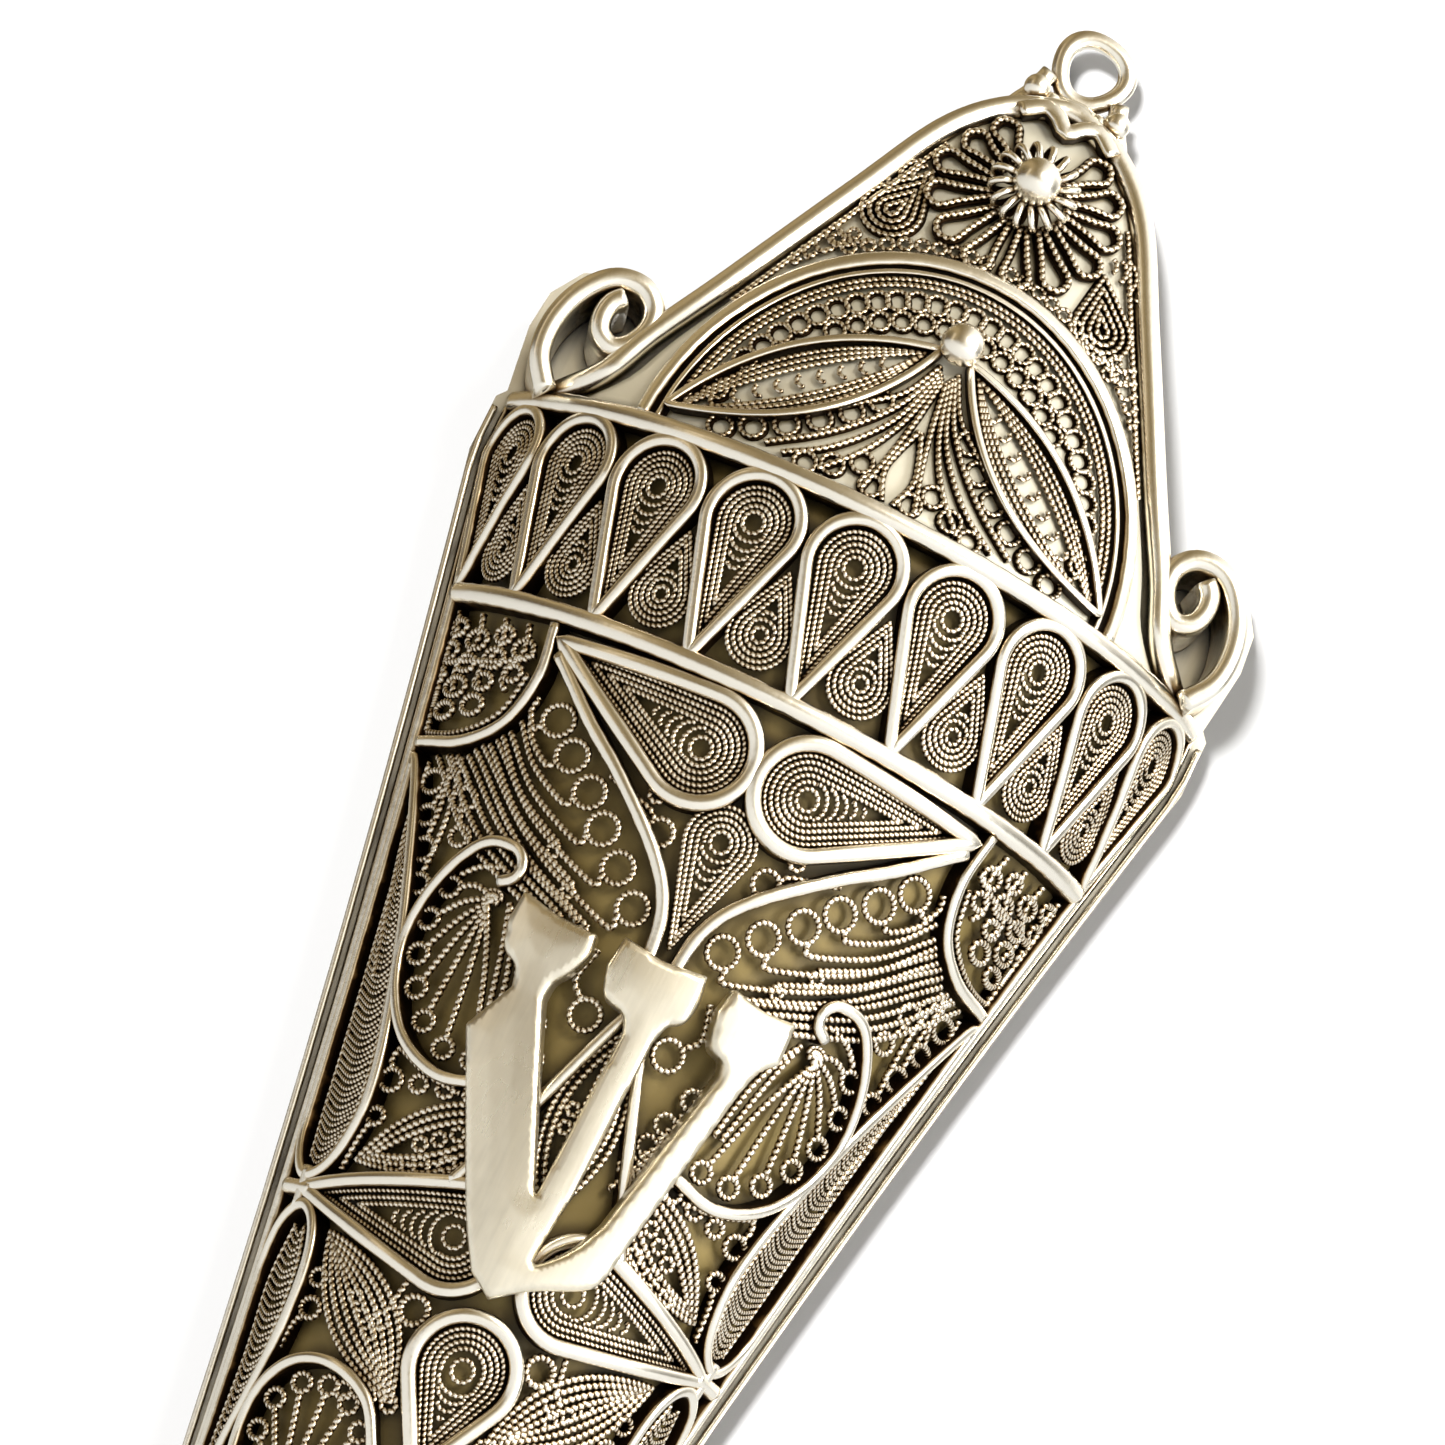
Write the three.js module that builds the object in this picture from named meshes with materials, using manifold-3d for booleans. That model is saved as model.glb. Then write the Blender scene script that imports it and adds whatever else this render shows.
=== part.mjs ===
// A silver filigree mezuzah case: a tapered half-round case on a flat back plate, with a hooded
// crown, nail rings, a raised letter and a cover that slides up behind the crown to take the scroll.
// Millimetres. +Z up, +X right as seen from the front, the front faces -Y, and the doorpost is y = 0.
// The origin is the centre of the hanging ring, on the doorpost plane.
import * as THREE from "three";
import { mergeVertices } from "three/addons/utils/BufferGeometryUtils.js";
import Module from "manifold-3d";

const wasm = await Module();
wasm.setup();

// ---- driving dimensions -------------------------------------------------------------------
const TOP_RAIL_Z = -29.9; // middle of the rail under the crown
const BOTTOM_RAIL_Z = -40.3; // middle of the rail under the band of drops
const SHOULDER_Z = -33; // the sides are parallel above this height and taper below it
const WAIST_Z = -70.8; // the height of the two solder nodes, where the lower pattern starts
const FOOT_Z = -99.5; // underside of the case body
const HALF_WIDTH = 19.8; // of the case at the band, over its wires
const TAPER = 0.222; // half-width lost per mm below the shoulder
const FLARE = 0.0007; // what the taper gives back per mm squared, so that the sides steepen
const DEPTH_TOP = 13.5; // how far the front stands off the back plate at the band
const DEPTH_FOOT = 8.2; // and at the foot
const CROWN_RADIUS = 21.3; // of the crown's curved face
const CROWN_LEAN = 0.445; // how far the crown's face falls back per mm of height
const CROWN_APEX_Z = -3.1;

const FIT = 0.1; // gap between soldered neighbours
const WIRE_GAP = 0.25; // gap between crossing wires
const SHEET = 0.5; // thickness of the curved backing sheets
const WIRE_WIDTH = 0.75; // plain frame wire
const WIRE_RISE = 0.55;
const WIRE_SPAN = 2.1; // the longest straight stretch that still follows the curved face
const FILIGREE_DEPTH = 1; // from the wires' top down to the filigree's underside
const FILIGREE_RISE = 0.33;
const LINING_DEPTH = 1.15; // from the wires' top down to the backing sheet
const RAIL_HEIGHT = 0.9;
const RAIL_PROUD = 0.15; // rails stand this far over the wires

const PLATE_BACK_Y = -1.45; // the back plate
const PLATE_THICK = 0.7;
const PLATE_LIP = 0.5; // the plate shows this far outside the wires
const BASE_Y = PLATE_BACK_Y - PLATE_THICK - FIT; // where the curved front meets the back plate
const COVER_HALF_WIDTH = 6;
const COVER_THICK = 0.7;
const COVER_BACK_Y = -0.45;
const COVER_TOP_Z = -30.6;
const COVER_BOTTOM_Z = -97.1;
const WINDOW_HALF_WIDTH = 5.2; // of the opening in the back plate under the cover
const WINDOW_TOP_Z = -31.3;
const WINDOW_BOTTOM_Z = -96.2;
const GUIDE_TOP_Z = -17; // the guides run on up behind the crown
const GUIDE_STRIP = 0.8; // thickness of the guide's standing wall
const GUIDE_LIP = 0.35; // thickness of the lip that holds the cover in
const GUIDE_GRIP = 0.7; // how far the lip reaches over the cover
const STOP_HEIGHT = 2.2; // height of the guide's closed foot
const END_PLATE = 0.8;
const SCROLL_RADIUS = 3;
const SCROLL_LENGTH = 60;
const EDGE_WIRE_INSET = 1.1; // from the body's edge, along the curve, to the edge wire's middle
const FIELD_INSET = 1.8; // and to the side of the filigree fields
const SHELL_INSET = 0.6; // and to the side of the backing sheet
const TOP_RAIL_INSET = 0.5; // and to the ends of the two rails
const BOTTOM_RAIL_INSET = 1.6;
const RING_RADIUS = 1.8; // of the nail ring's wire centre line
const RING_WIRE = 0.5; // radius of its wire
const RING_Y = -1.6;
const RING_STEPS = 20;
const RING_SIDES = 6;
const BAND_DROPS = 9;
const DROP_PITCH = THREE.MathUtils.degToRad(15);

// ---- materials ----------------------------------------------------------------------------
const metal = (color, roughness) =>
  new THREE.MeshStandardMaterial({ color, roughness, metalness: 1 });
const brightSilver = metal(0xe9e2cf, 0.3);
const satinSilver = metal(0xd9cfb4, 0.42);
const filigreeSilver = metal(0xb9a878, 0.45);
const oxidisedSheet = metal(0x7c6a3c, 0.6);
const crownSheet = metal(0xbdb59a, 0.5);
const parchment = new THREE.MeshStandardMaterial({ color: 0xe6d9b4, roughness: 0.85, metalness: 0 });

const model = new THREE.Group();

function place(name, geometry, material) {
  const mesh = new THREE.Mesh(geometry, material);
  mesh.name = name;
  model.add(mesh);
  return mesh;
}

// ---- the curved faces ---------------------------------------------------------------------
// Each face is unrolled: u is the distance along the curve from the centre line, z the height,
// and h the distance outside the top of the wires.
function halfWidthAt(z) {
  const below = Math.max(SHOULDER_Z - z, 0);
  return HALF_WIDTH - TAPER * below + FLARE * below * below;
}

function bodyArc(z) {
  const down = THREE.MathUtils.clamp((TOP_RAIL_Z - z) / (TOP_RAIL_Z - FOOT_Z), 0, 1);
  const deep = THREE.MathUtils.lerp(DEPTH_TOP, DEPTH_FOOT, down);
  const wide = halfWidthAt(z);
  const radius = (wide * wide + deep * deep) / (2 * deep);
  return { radius, halfAngle: 2 * Math.atan(deep / wide), centreY: BASE_Y - deep + radius };
}

function bodyFace(u, z, h) {
  const { radius, centreY } = bodyArc(z);
  const angle = u / radius;
  return [(radius + h) * Math.sin(angle), centreY - (radius + h) * Math.cos(angle), z];
}

function crownFace(u, z, h) {
  const front = BASE_Y - DEPTH_TOP + CROWN_LEAN * (z - TOP_RAIL_Z);
  const angle = u / CROWN_RADIUS;
  const radius = CROWN_RADIUS + h;
  return [radius * Math.sin(angle), front + CROWN_RADIUS - radius * Math.cos(angle), z];
}

// The unrolled place of a point given by its x and z as seen from the front.
const onBody = ([x, z]) => {
  const { radius } = bodyArc(z);
  return [radius * Math.asin(THREE.MathUtils.clamp(x / radius, -1, 1)), z];
};
const onCrown = ([x, z]) => [CROWN_RADIUS * Math.asin(x / CROWN_RADIUS), z];

// ---- solids -------------------------------------------------------------------------------
function bent(geometry, map) {
  const bare = geometry.index ? geometry.toNonIndexed() : geometry;
  const position = bare.getAttribute("position");
  const out = new THREE.BufferGeometry();
  const points = new Float32Array(position.count * 3);
  for (let i = 0; i < position.count; i += 1) {
    points.set(map(position.getX(i), position.getY(i), position.getZ(i)), 3 * i);
  }
  out.setAttribute("position", new THREE.BufferAttribute(points, 3));
  out.computeVertexNormals();
  return out;
}

// Laid flat, a prism's x, y and z are u, z and h: standing upright it is x, -y and z.
const upright = (x, y, z) => [x, -z, y];

function solidOf(geometry) {
  const bare = geometry.clone();
  for (const name of Object.keys(bare.attributes)) {
    if (name !== "position") {
      bare.deleteAttribute(name);
    }
  }
  const merged = mergeVertices(bare, 1e-4);
  return new wasm.Manifold(
    new wasm.Mesh({
      numProp: 3,
      vertProperties: new Float32Array(merged.getAttribute("position").array),
      triVerts: new Uint32Array(merged.index.array),
    }),
  );
}

function geometryOf(solid) {
  const mesh = solid.getMesh();
  const geometry = new THREE.BufferGeometry();
  geometry.setAttribute("position", new THREE.BufferAttribute(mesh.vertProperties.slice(), 3));
  geometry.setIndex(new THREE.BufferAttribute(mesh.triVerts.slice(), 1));
  return geometry.toNonIndexed();
}

function prism(shape, from, to) {
  const geometry = new THREE.ExtrudeGeometry(shape, { depth: to - from, bevelEnabled: false });
  return geometry.translate(0, 0, from);
}

// A sheet of nu by nv cells: place(s, t, n) puts its corners, s and t from 0 to 1 across and up
// it, and n from 0 at its back to 1 at its front.
function sheet(nu, nv, placeCorner) {
  return bent(new THREE.BoxGeometry(1, 1, 1, nu, nv, 1), (x, y, z) =>
    placeCorner(x + 0.5, y + 0.5, z + 0.5),
  );
}

// ---- flat outlines ------------------------------------------------------------------------
const toVectors = (points) => points.map(([x, z]) => new THREE.Vector2(x, z));
const toPairs = (vectors) => vectors.map((v) => [v.x, v.y]);

function spline(points, steps) {
  return toPairs(new THREE.SplineCurve(toVectors(points)).getPoints(steps));
}

// Offsets a line of points sideways by a distance, with mitred corners.
function offset(points, distance, closed) {
  const count = points.length;
  return points.map((point, i) => {
    const before = closed ? points[(i + count - 1) % count] : points[Math.max(i - 1, 0)];
    const after = closed ? points[(i + 1) % count] : points[Math.min(i + 1, count - 1)];
    const here = new THREE.Vector2(...point);
    const into = here.clone().sub(new THREE.Vector2(...before));
    const out = new THREE.Vector2(...after).sub(here);
    const a = (into.lengthSq() > 0 ? into : out).clone().normalize();
    const b = (out.lengthSq() > 0 ? out : into).clone().normalize();
    const across = a.clone().add(b).normalize();
    const stretch = Math.min(1 / Math.max(across.dot(b), 0.1), 2.2);
    return [here.x + across.y * distance * stretch, here.y - across.x * distance * stretch];
  });
}

// Adds points so that no straight stretch is longer than a wire's span.
function finely(points, closed) {
  const out = [];
  points.forEach((point, i) => {
    out.push(point);
    const next = closed ? points[(i + 1) % points.length] : points[i + 1];
    if (!next) {
      return;
    }
    const parts = Math.ceil(Math.hypot(next[0] - point[0], next[1] - point[1]) / WIRE_SPAN);
    for (let k = 1; k < parts; k += 1) {
      out.push(point.map((value, axis) => value + ((next[axis] - value) * k) / parts));
    }
  });
  return out;
}

// A wire of rectangular section along a flat line, low to high above it. Each corner is bent into
// place by map. A closed wire starts as a ring, and an open one as a bar.
function wireAlong(line, closed, width, low, high, map) {
  const clockwise = closed && THREE.ShapeUtils.area(toVectors(line)) < 0;
  const points = finely(clockwise ? [...line].reverse() : line, closed);
  const left = offset(points, -width / 2, closed);
  const right = offset(points, width / 2, closed);
  const corner = (i, across, rise) => {
    const x = THREE.MathUtils.lerp(left[i][0], right[i][0], across);
    const z = THREE.MathUtils.lerp(left[i][1], right[i][1], across);
    return map(x, z, THREE.MathUtils.lerp(low, high, rise));
  };
  const count = points.length;
  if (!closed) {
    return sheet(count - 1, 1, (s, t, n) => corner(Math.round(s * (count - 1)), 1 - t, n));
  }
  const section = toVectors([
    [1, 0],
    [2, 0],
    [2, 1],
    [1, 1],
    [1, 0],
  ]);
  return bent(new THREE.LatheGeometry(section, count), (x, y, z) => {
    const turn = Math.atan2(x, z) / (2 * Math.PI) + 1;
    return corner(Math.round(turn * count) % count, Math.hypot(x, z) - 1, y);
  });
}

const rectangle = (x0, z0, x1, z1) =>
  new THREE.Shape(
    toVectors([
      [x0, z0],
      [x1, z0],
      [x1, z1],
      [x0, z1],
    ]),
  );

// A teardrop from its tip: a round end about a centre, and straight sides.
function teardrop(centre, radius, tip, steps = 12) {
  const reach = Math.hypot(tip[0] - centre[0], tip[1] - centre[1]);
  const towardTip = Math.atan2(tip[1] - centre[1], tip[0] - centre[0]);
  const touch = Math.acos(radius / reach);
  const points = [tip];
  for (let i = 0; i <= steps; i += 1) {
    const angle = towardTip + touch + ((2 * Math.PI - 2 * touch) * i) / steps;
    points.push([centre[0] + radius * Math.cos(angle), centre[1] + radius * Math.sin(angle)]);
  }
  return points;
}

// A leaf between two tips, bulging to each side.
function leaf(from, to, bulgeRight, bulgeLeft, steps = 8) {
  const a = new THREE.Vector2(...from);
  const b = new THREE.Vector2(...to);
  const middle = a.clone().add(b).multiplyScalar(0.5);
  const along = b.clone().sub(a).normalize();
  const right = new THREE.Vector2(along.y, -along.x);
  const side = (start, end, bulge) =>
    new THREE.QuadraticBezierCurve(
      start,
      middle.clone().addScaledVector(right, 2 * bulge),
      end,
    ).getPoints(steps);
  const there = side(a, b, bulgeRight);
  const back = side(b, a, -bulgeLeft);
  return toPairs([...there.slice(0, -1), ...back.slice(0, -1)]);
}

const mirrored = (points) => points.map(([x, z]) => [-x, z]);

// ---- wires laid on the curved faces -------------------------------------------------------
const CLEARING = 1.5; // how far above and below the wires a crossing is cleared

// Each wire is cut clear of the wires laid before it.
class WireField {
  constructor(face, unroll) {
    this.face = face;
    this.unroll = unroll;
    this.taken = [];
  }

  keepClear(line, closed, width) {
    const wide = wireAlong(line, closed, width, -CLEARING, CLEARING, this.face);
    this.taken.push(solidOf(wide));
  }

  lay(name, closed, points, material = brightSilver) {
    const flat = points.map(this.unroll);
    let wire = solidOf(wireAlong(flat, closed, WIRE_WIDTH, -WIRE_RISE, 0, this.face));
    for (const other of this.taken) {
      wire = wire.subtract(other);
    }
    const pieces = wire.decompose().sort((a, b) => b.volume() - a.volume());
    this.keepClear(flat, closed, WIRE_WIDTH + 2 * WIRE_GAP);
    place(name, geometryOf(pieces[0]), material);
  }
}

const OPEN = false;
const CLOSED = true;

// A level line right across a face.
const levelLine = (z, reach) => [
  [-reach, z],
  [reach, z],
];

// ---- the crown's outline ------------------------------------------------------------------
// Half of the ogee arch, from its apex down to the rail, as x and z.
const CROWN_SIDE = [
  [0.4, CROWN_APEX_Z],
  [3.2, -4.4],
  [5.7, -7.2],
  [8.1, -12.7],
  [11.4, -20.4],
  [13.8, -27],
  [14.9, TOP_RAIL_Z + RAIL_HEIGHT],
];
const CROWN_STEPS = 14;
const crownSide = spline(CROWN_SIDE, CROWN_STEPS);

function crownHalfWidth(z) {
  const next = crownSide.findIndex((point) => point[1] <= z);
  if (next <= 0) {
    return crownSide[next === 0 ? 0 : crownSide.length - 1][0];
  }
  const [x0, z0] = crownSide[next - 1];
  const [x1, z1] = crownSide[next];
  return THREE.MathUtils.mapLinear(z, z0, z1, x0, x1);
}

const ARCH_HALF_WIDTH = 13.05;
const ARCH_FOOT_Z = TOP_RAIL_Z + RAIL_HEIGHT / 2 + WIRE_GAP;
const ARCH_RISE = 14.5;
const archHalfWidth = (z) =>
  ARCH_HALF_WIDTH * Math.sqrt(Math.max(1 - ((z - ARCH_FOOT_Z) / ARCH_RISE) ** 2, 0));
const archTop = (x) =>
  ARCH_FOOT_Z + ARCH_RISE * Math.sqrt(Math.max(1 - (x / ARCH_HALF_WIDTH) ** 2, 0));

// ---- back plate, cover and scroll ---------------------------------------------------------
const VOLUTE_OUTLINE = [
  [15.2, -24.5],
  [14.6, -22.2],
  [16.4, -21.3],
  [18.6, -22],
  [19.9, -24.4],
  [19.7, -27.2],
  [19.4, -29.4],
];

// The plate's tongue under the body, which carries the tail.
const TONGUE = [
  [0.9, -110.2],
  [1.6, -108],
  [3.4, -105.6],
  [4.2, -102.6],
  [7.4, -101],
];
const PLATE_STEP = 6.9;
const PLATE_SHOULDER = [
  [2.4, -3.6],
  [0.9, -2.7],
];
const VOLUTE_REACH_Z = -21.5; // below this height the plate follows the volutes' outline
const CROWN_REACH_Z = -4.8; // and above this one it narrows to carry the nail ring

function backPlate() {
  const right = [...TONGUE];
  for (let z = FOOT_Z; z < TOP_RAIL_Z - 1; z += PLATE_STEP) {
    right.push([halfWidthAt(z) + PLATE_LIP, z]);
  }
  right.push([HALF_WIDTH + PLATE_LIP, SHOULDER_Z], [HALF_WIDTH + PLATE_LIP, TOP_RAIL_Z]);
  right.push(...spline(VOLUTE_OUTLINE, 8).reverse().map(([x, z]) => [x + PLATE_LIP, z]));
  const side = crownSide.filter(([, z]) => z > VOLUTE_REACH_Z && z < CROWN_REACH_Z).reverse();
  right.push(...side.map(([x, z]) => [x + PLATE_LIP, z]), ...PLATE_SHOULDER);
  const outline = [...right, ...mirrored(right).reverse()];
  const shape = new THREE.Shape(toVectors(outline));
  const [wide, low, high] = [WINDOW_HALF_WIDTH, WINDOW_BOTTOM_Z, WINDOW_TOP_Z];
  shape.holes.push(rectangle(-wide, low, wide, high));
  return bent(prism(shape, -PLATE_BACK_Y, PLATE_THICK - PLATE_BACK_Y), upright);
}

// The guide is one bent strip: a wall and a lip up each side of the cover and across under it.
function coverGuide() {
  const inner = COVER_HALF_WIDTH + FIT;
  const outer = inner + GUIDE_STRIP;
  const floor = COVER_BOTTOM_Z - FIT;
  const channel = (reach) =>
    new THREE.Shape(
      toVectors([
        [-outer, GUIDE_TOP_Z],
        [-outer, floor - STOP_HEIGHT],
        [outer, floor - STOP_HEIGHT],
        [outer, GUIDE_TOP_Z],
        [inner - reach, GUIDE_TOP_Z],
        [inner - reach, floor],
        [-inner + reach, floor],
        [-inner + reach, GUIDE_TOP_Z],
      ]),
    );
  const wall = solidOf(prism(channel(0), GUIDE_LIP / 2, -PLATE_BACK_Y - FIT));
  const lip = solidOf(prism(channel(GUIDE_GRIP + FIT), 0, GUIDE_LIP));
  return bent(geometryOf(wall.add(lip)), upright);
}

// A flat plate with a thumb ridge across it near its top.
const RIDGE_HALF_WIDTH = 3.6;
const RIDGE_DROP = 1.8; // from the cover's top edge down to the ridge
const RIDGE_HEIGHT = 0.8;
const RIDGE_RISE = 0.3;

function slidingCover() {
  const plate = rectangle(-COVER_HALF_WIDTH, COVER_BOTTOM_Z, COVER_HALF_WIDTH, COVER_TOP_Z);
  const slab = solidOf(prism(plate, -COVER_BACK_Y, COVER_THICK - COVER_BACK_Y));
  const ridgeTop = COVER_TOP_Z - RIDGE_DROP;
  const ridge = rectangle(-RIDGE_HALF_WIDTH, ridgeTop - RIDGE_HEIGHT, RIDGE_HALF_WIDTH, ridgeTop);
  const grip = solidOf(prism(ridge, -COVER_BACK_Y - RIDGE_RISE, -COVER_BACK_Y + COVER_THICK / 2));
  return bent(geometryOf(slab.add(grip)), upright);
}

place("back_plate", backPlate(), satinSilver);
place("cover_guide", coverGuide(), satinSilver);
place("sliding_cover", slidingCover(), satinSilver);

const scroll = place(
  "parchment_scroll",
  new THREE.CylinderGeometry(SCROLL_RADIUS, SCROLL_RADIUS, SCROLL_LENGTH, 20),
  parchment,
);
scroll.rotation.x = Math.PI / 2;
scroll.position.set(
  0,
  BASE_Y - FIT - SCROLL_RADIUS,
  FOOT_Z + END_PLATE + FIT + SCROLL_LENGTH / 2,
);

// ---- the half-round body ------------------------------------------------------------------
// Half the length of the curve at a height.
const bodyEdge = (z) => {
  const { radius, halfAngle } = bodyArc(z);
  return radius * halfAngle;
};

const SHELL_TOP_Z = TOP_RAIL_Z - RAIL_HEIGHT / 2 - FIT;
const SHELL_FOOT_Z = FOOT_Z + END_PLATE + FIT;

place(
  "body_shell",
  sheet(18, 10, (s, t, n) => {
    const z = THREE.MathUtils.lerp(SHELL_FOOT_Z, SHELL_TOP_Z, t);
    const edge = bodyEdge(z) - SHELL_INSET;
    return bodyFace(edge * (2 * s - 1), z, -LINING_DEPTH - SHEET * (1 - n));
  }),
  oxidisedSheet,
);

const END_STEPS = 20;
const TOP_END_INSET = 1.2; // how far the end plates stay inside the top of the wires
const BOTTOM_END_INSET = 0.3;

// An end plate closes the body: the body's own section, cut off flat at the back plate.
function endPlate(z, thickness, inset) {
  const { radius, halfAngle, centreY } = bodyArc(z);
  const reach = radius - inset;
  const cut = Math.acos(THREE.MathUtils.clamp((centreY - BASE_Y) / reach, -1, 1));
  const points = [];
  for (let i = 0; i <= END_STEPS; i += 1) {
    const angle = Math.min(halfAngle, cut) * ((2 * i) / END_STEPS - 1);
    points.push([reach * Math.sin(angle), centreY - reach * Math.cos(angle)]);
  }
  const plate = prism(new THREE.Shape(toVectors(points)), 0, thickness);
  return plate.translate(0, 0, z);
}

place("top_end_plate", endPlate(TOP_RAIL_Z - RAIL_HEIGHT / 2, END_PLATE, TOP_END_INSET), satinSilver);
place("bottom_end_plate", endPlate(FOOT_Z, END_PLATE, BOTTOM_END_INSET), satinSilver);

function rail(name, z, inset) {
  const edge = bodyEdge(z) - inset;
  place(
    name,
    sheet(24, 1, (s, t, n) => {
      const height = z + RAIL_HEIGHT * (t - 0.5);
      const h = THREE.MathUtils.lerp(-FILIGREE_DEPTH + FIT, RAIL_PROUD, n);
      return bodyFace(edge * (2 * s - 1), height, h);
    }),
    brightSilver,
  );
}

rail("band_top_rail", TOP_RAIL_Z, TOP_RAIL_INSET);
rail("band_bottom_rail", BOTTOM_RAIL_Z, BOTTOM_RAIL_INSET);

// ---- filigree fields: the twisted wire fillings, as one curved layer in each field ---------
function bodyFiligree(name, topZ, bottomZ, rows) {
  place(
    name,
    sheet(16, rows, (s, t, n) => {
      const z = THREE.MathUtils.lerp(bottomZ, topZ, t);
      const edge = bodyEdge(z) - FIELD_INSET;
      return bodyFace(edge * (2 * s - 1), z, -FILIGREE_DEPTH + FILIGREE_RISE * n);
    }),
    filigreeSilver,
  );
}

const FOOT_WIRE_Z = FOOT_Z + END_PLATE + 0.5; // where the edge wire crosses the foot
const RAIL_CLEAR = RAIL_HEIGHT / 2 + FIT;
bodyFiligree("band_filigree", TOP_RAIL_Z - RAIL_CLEAR, BOTTOM_RAIL_Z + RAIL_CLEAR, 1);
bodyFiligree("upper_body_filigree", BOTTOM_RAIL_Z - RAIL_CLEAR, WAIST_Z + FIT, 5);
bodyFiligree("lower_body_filigree", WAIST_Z - FIT, FOOT_WIRE_Z + WIRE_GAP + WIRE_WIDTH / 2, 5);

// ---- plain wires of the body --------------------------------------------------------------
const body = new WireField(bodyFace, onBody);
for (const z of [TOP_RAIL_Z, BOTTOM_RAIL_Z]) {
  body.keepClear(levelLine(z, bodyEdge(z)), OPEN, RAIL_HEIGHT + 2 * WIRE_GAP);
}

// The edge wire runs down one side, across the foot and up the other side.
function edgeWire() {
  const top = BOTTOM_RAIL_Z - RAIL_HEIGHT / 2 - WIRE_GAP;
  const side = [];
  const steps = 8;
  for (let i = 0; i <= steps; i += 1) {
    const z = THREE.MathUtils.lerp(top, FOOT_WIRE_Z, i / steps);
    side.push([bodyEdge(z) - EDGE_WIRE_INSET, z]);
  }
  const footReach = bodyEdge(FOOT_WIRE_Z) - EDGE_WIRE_INSET;
  const across = [0.6, 0.2, -0.2, -0.6].map((share) => [share * footReach, FOOT_WIRE_Z]);
  return [...side, ...across, ...mirrored(side).reverse()];
}

const flatBody = new WireField(bodyFace, (point) => point);
flatBody.lay("edge_wire", OPEN, edgeWire());
body.taken.push(...flatBody.taken);

// The band: nine drops hanging from the top rail, tips on the bottom rail.
const DROP_ROUND_Z = -33.25;
const DROP_TIP_Z = -39.45;
const DROP_RADIUS = 2.3;
const bandRadius = bodyArc(SHOULDER_Z).radius;
const band = new WireField(bodyFace, (point) => point);
band.taken = body.taken.slice(0, 2);
for (let i = 0; i < BAND_DROPS; i += 1) {
  const u = bandRadius * DROP_PITCH * (i - (BAND_DROPS - 1) / 2);
  const drop = teardrop([u, DROP_ROUND_Z], DROP_RADIUS, [u, DROP_TIP_Z], 10);
  band.lay(`band_drop_${i + 1}`, CLOSED, drop);
}

const BROW_DROP = teardrop([-2.95, -43.95], 2.65, [-11.3, -41.75]);
const CORNER_ARC = [
  [-12.15, -41.1],
  [-11.75, -43.6],
  [-12.3, -46.2],
  [-13.9, -47.7],
  [-15.4, -48.05],
];
const LONG_CURVE = [
  [-11, -43],
  [-8.4, -44.9],
  [-5.9, -46.8],
  [-2.6, -49.7],
  [-1.1, -52],
  [-0.65, -54.6],
];
const SIDE_SCROLL = [
  [-9.2, -54],
  [-8.2, -53.1],
  [-9, -51.9],
  [-10.5, -52.2],
  [-11.7, -54.3],
  [-12.15, -57.2],
  [-11.5, -60],
  [-9.9, -62.4],
  [-7.6, -63.5],
  [-5.4, -63.05],
];
const EDGE_DROP = [
  [-15.45, -49.6],
  [-14.3, -56],
  [-13.25, -62],
  [-12.35, -67.2],
  [-11.4, -69.1],
  [-10.25, -67.6],
  [-10.1, -65.4],
  [-11.2, -61.8],
  [-13.2, -56],
];
const WAIST_LEAF = teardrop([-3.3, -70.25], 2.35, [-10.5, -70.85]);
const LOWER_EDGE_DROP = [
  [-9.6, -86.5],
  [-10.95, -79],
  [-11.55, -74.6],
  [-10.7, -72.6],
  [-9.5, -73.9],
  [-9.2, -77.5],
];
const LOWER_SCROLL = [
  [-2.3, -80.9],
  [-4, -78.75],
  [-6, -78.1],
  [-7.9, -78.9],
  [-8.75, -81.2],
  [-8.3, -84.6],
  [-6.9, -87.2],
  [-5.2, -88],
  [-4.4, -86.9],
  [-5.2, -86],
];
const LOWER_CURVE = [
  [-0.55, -83],
  [-1, -86.3],
  [-2.6, -89.6],
  [-4.6, -92.4],
  [-6, -94.6],
];

const SIDES = { left: 1, right: -1 };
const sided = (points, side) => (side > 0 ? points : mirrored(points));
const smoothLoop = (points, steps) => spline([...points, points[0]], steps).slice(0, -1);

const lowerCenterDrop = teardrop([0, -75.7], 2.35, [0, -80.6]);
body.lay("lower_center_drop", CLOSED, lowerCenterDrop);
for (const [word, side] of Object.entries(SIDES)) {
  body.lay(`${word}_brow_drop`, CLOSED, sided(BROW_DROP, side));
  body.lay(`${word}_waist_leaf`, CLOSED, sided(WAIST_LEAF, side));
  body.lay(`${word}_edge_drop`, CLOSED, sided(smoothLoop(EDGE_DROP, 21), side));
  body.lay(`${word}_lower_edge_drop`, CLOSED, sided(smoothLoop(LOWER_EDGE_DROP, 16), side));
  body.lay(`${word}_long_curve`, OPEN, sided(spline(LONG_CURVE, 12), side));
  body.lay(`${word}_corner_arc`, OPEN, sided(spline(CORNER_ARC, 9), side));
  body.lay(`${word}_side_scroll`, OPEN, sided(spline(SIDE_SCROLL, 24), side));
  body.lay(`${word}_lower_scroll`, OPEN, sided(spline(LOWER_SCROLL, 22), side));
  body.lay(`${word}_lower_curve`, OPEN, sided(spline(LOWER_CURVE, 9), side));
}

// ---- the raised letter --------------------------------------------------------------------
// The plain three-armed letter that every mezuzah case carries, as one domed plate.
const LETTER_LIFT = 0.25;
const LETTER_THICK = 1;

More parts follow.
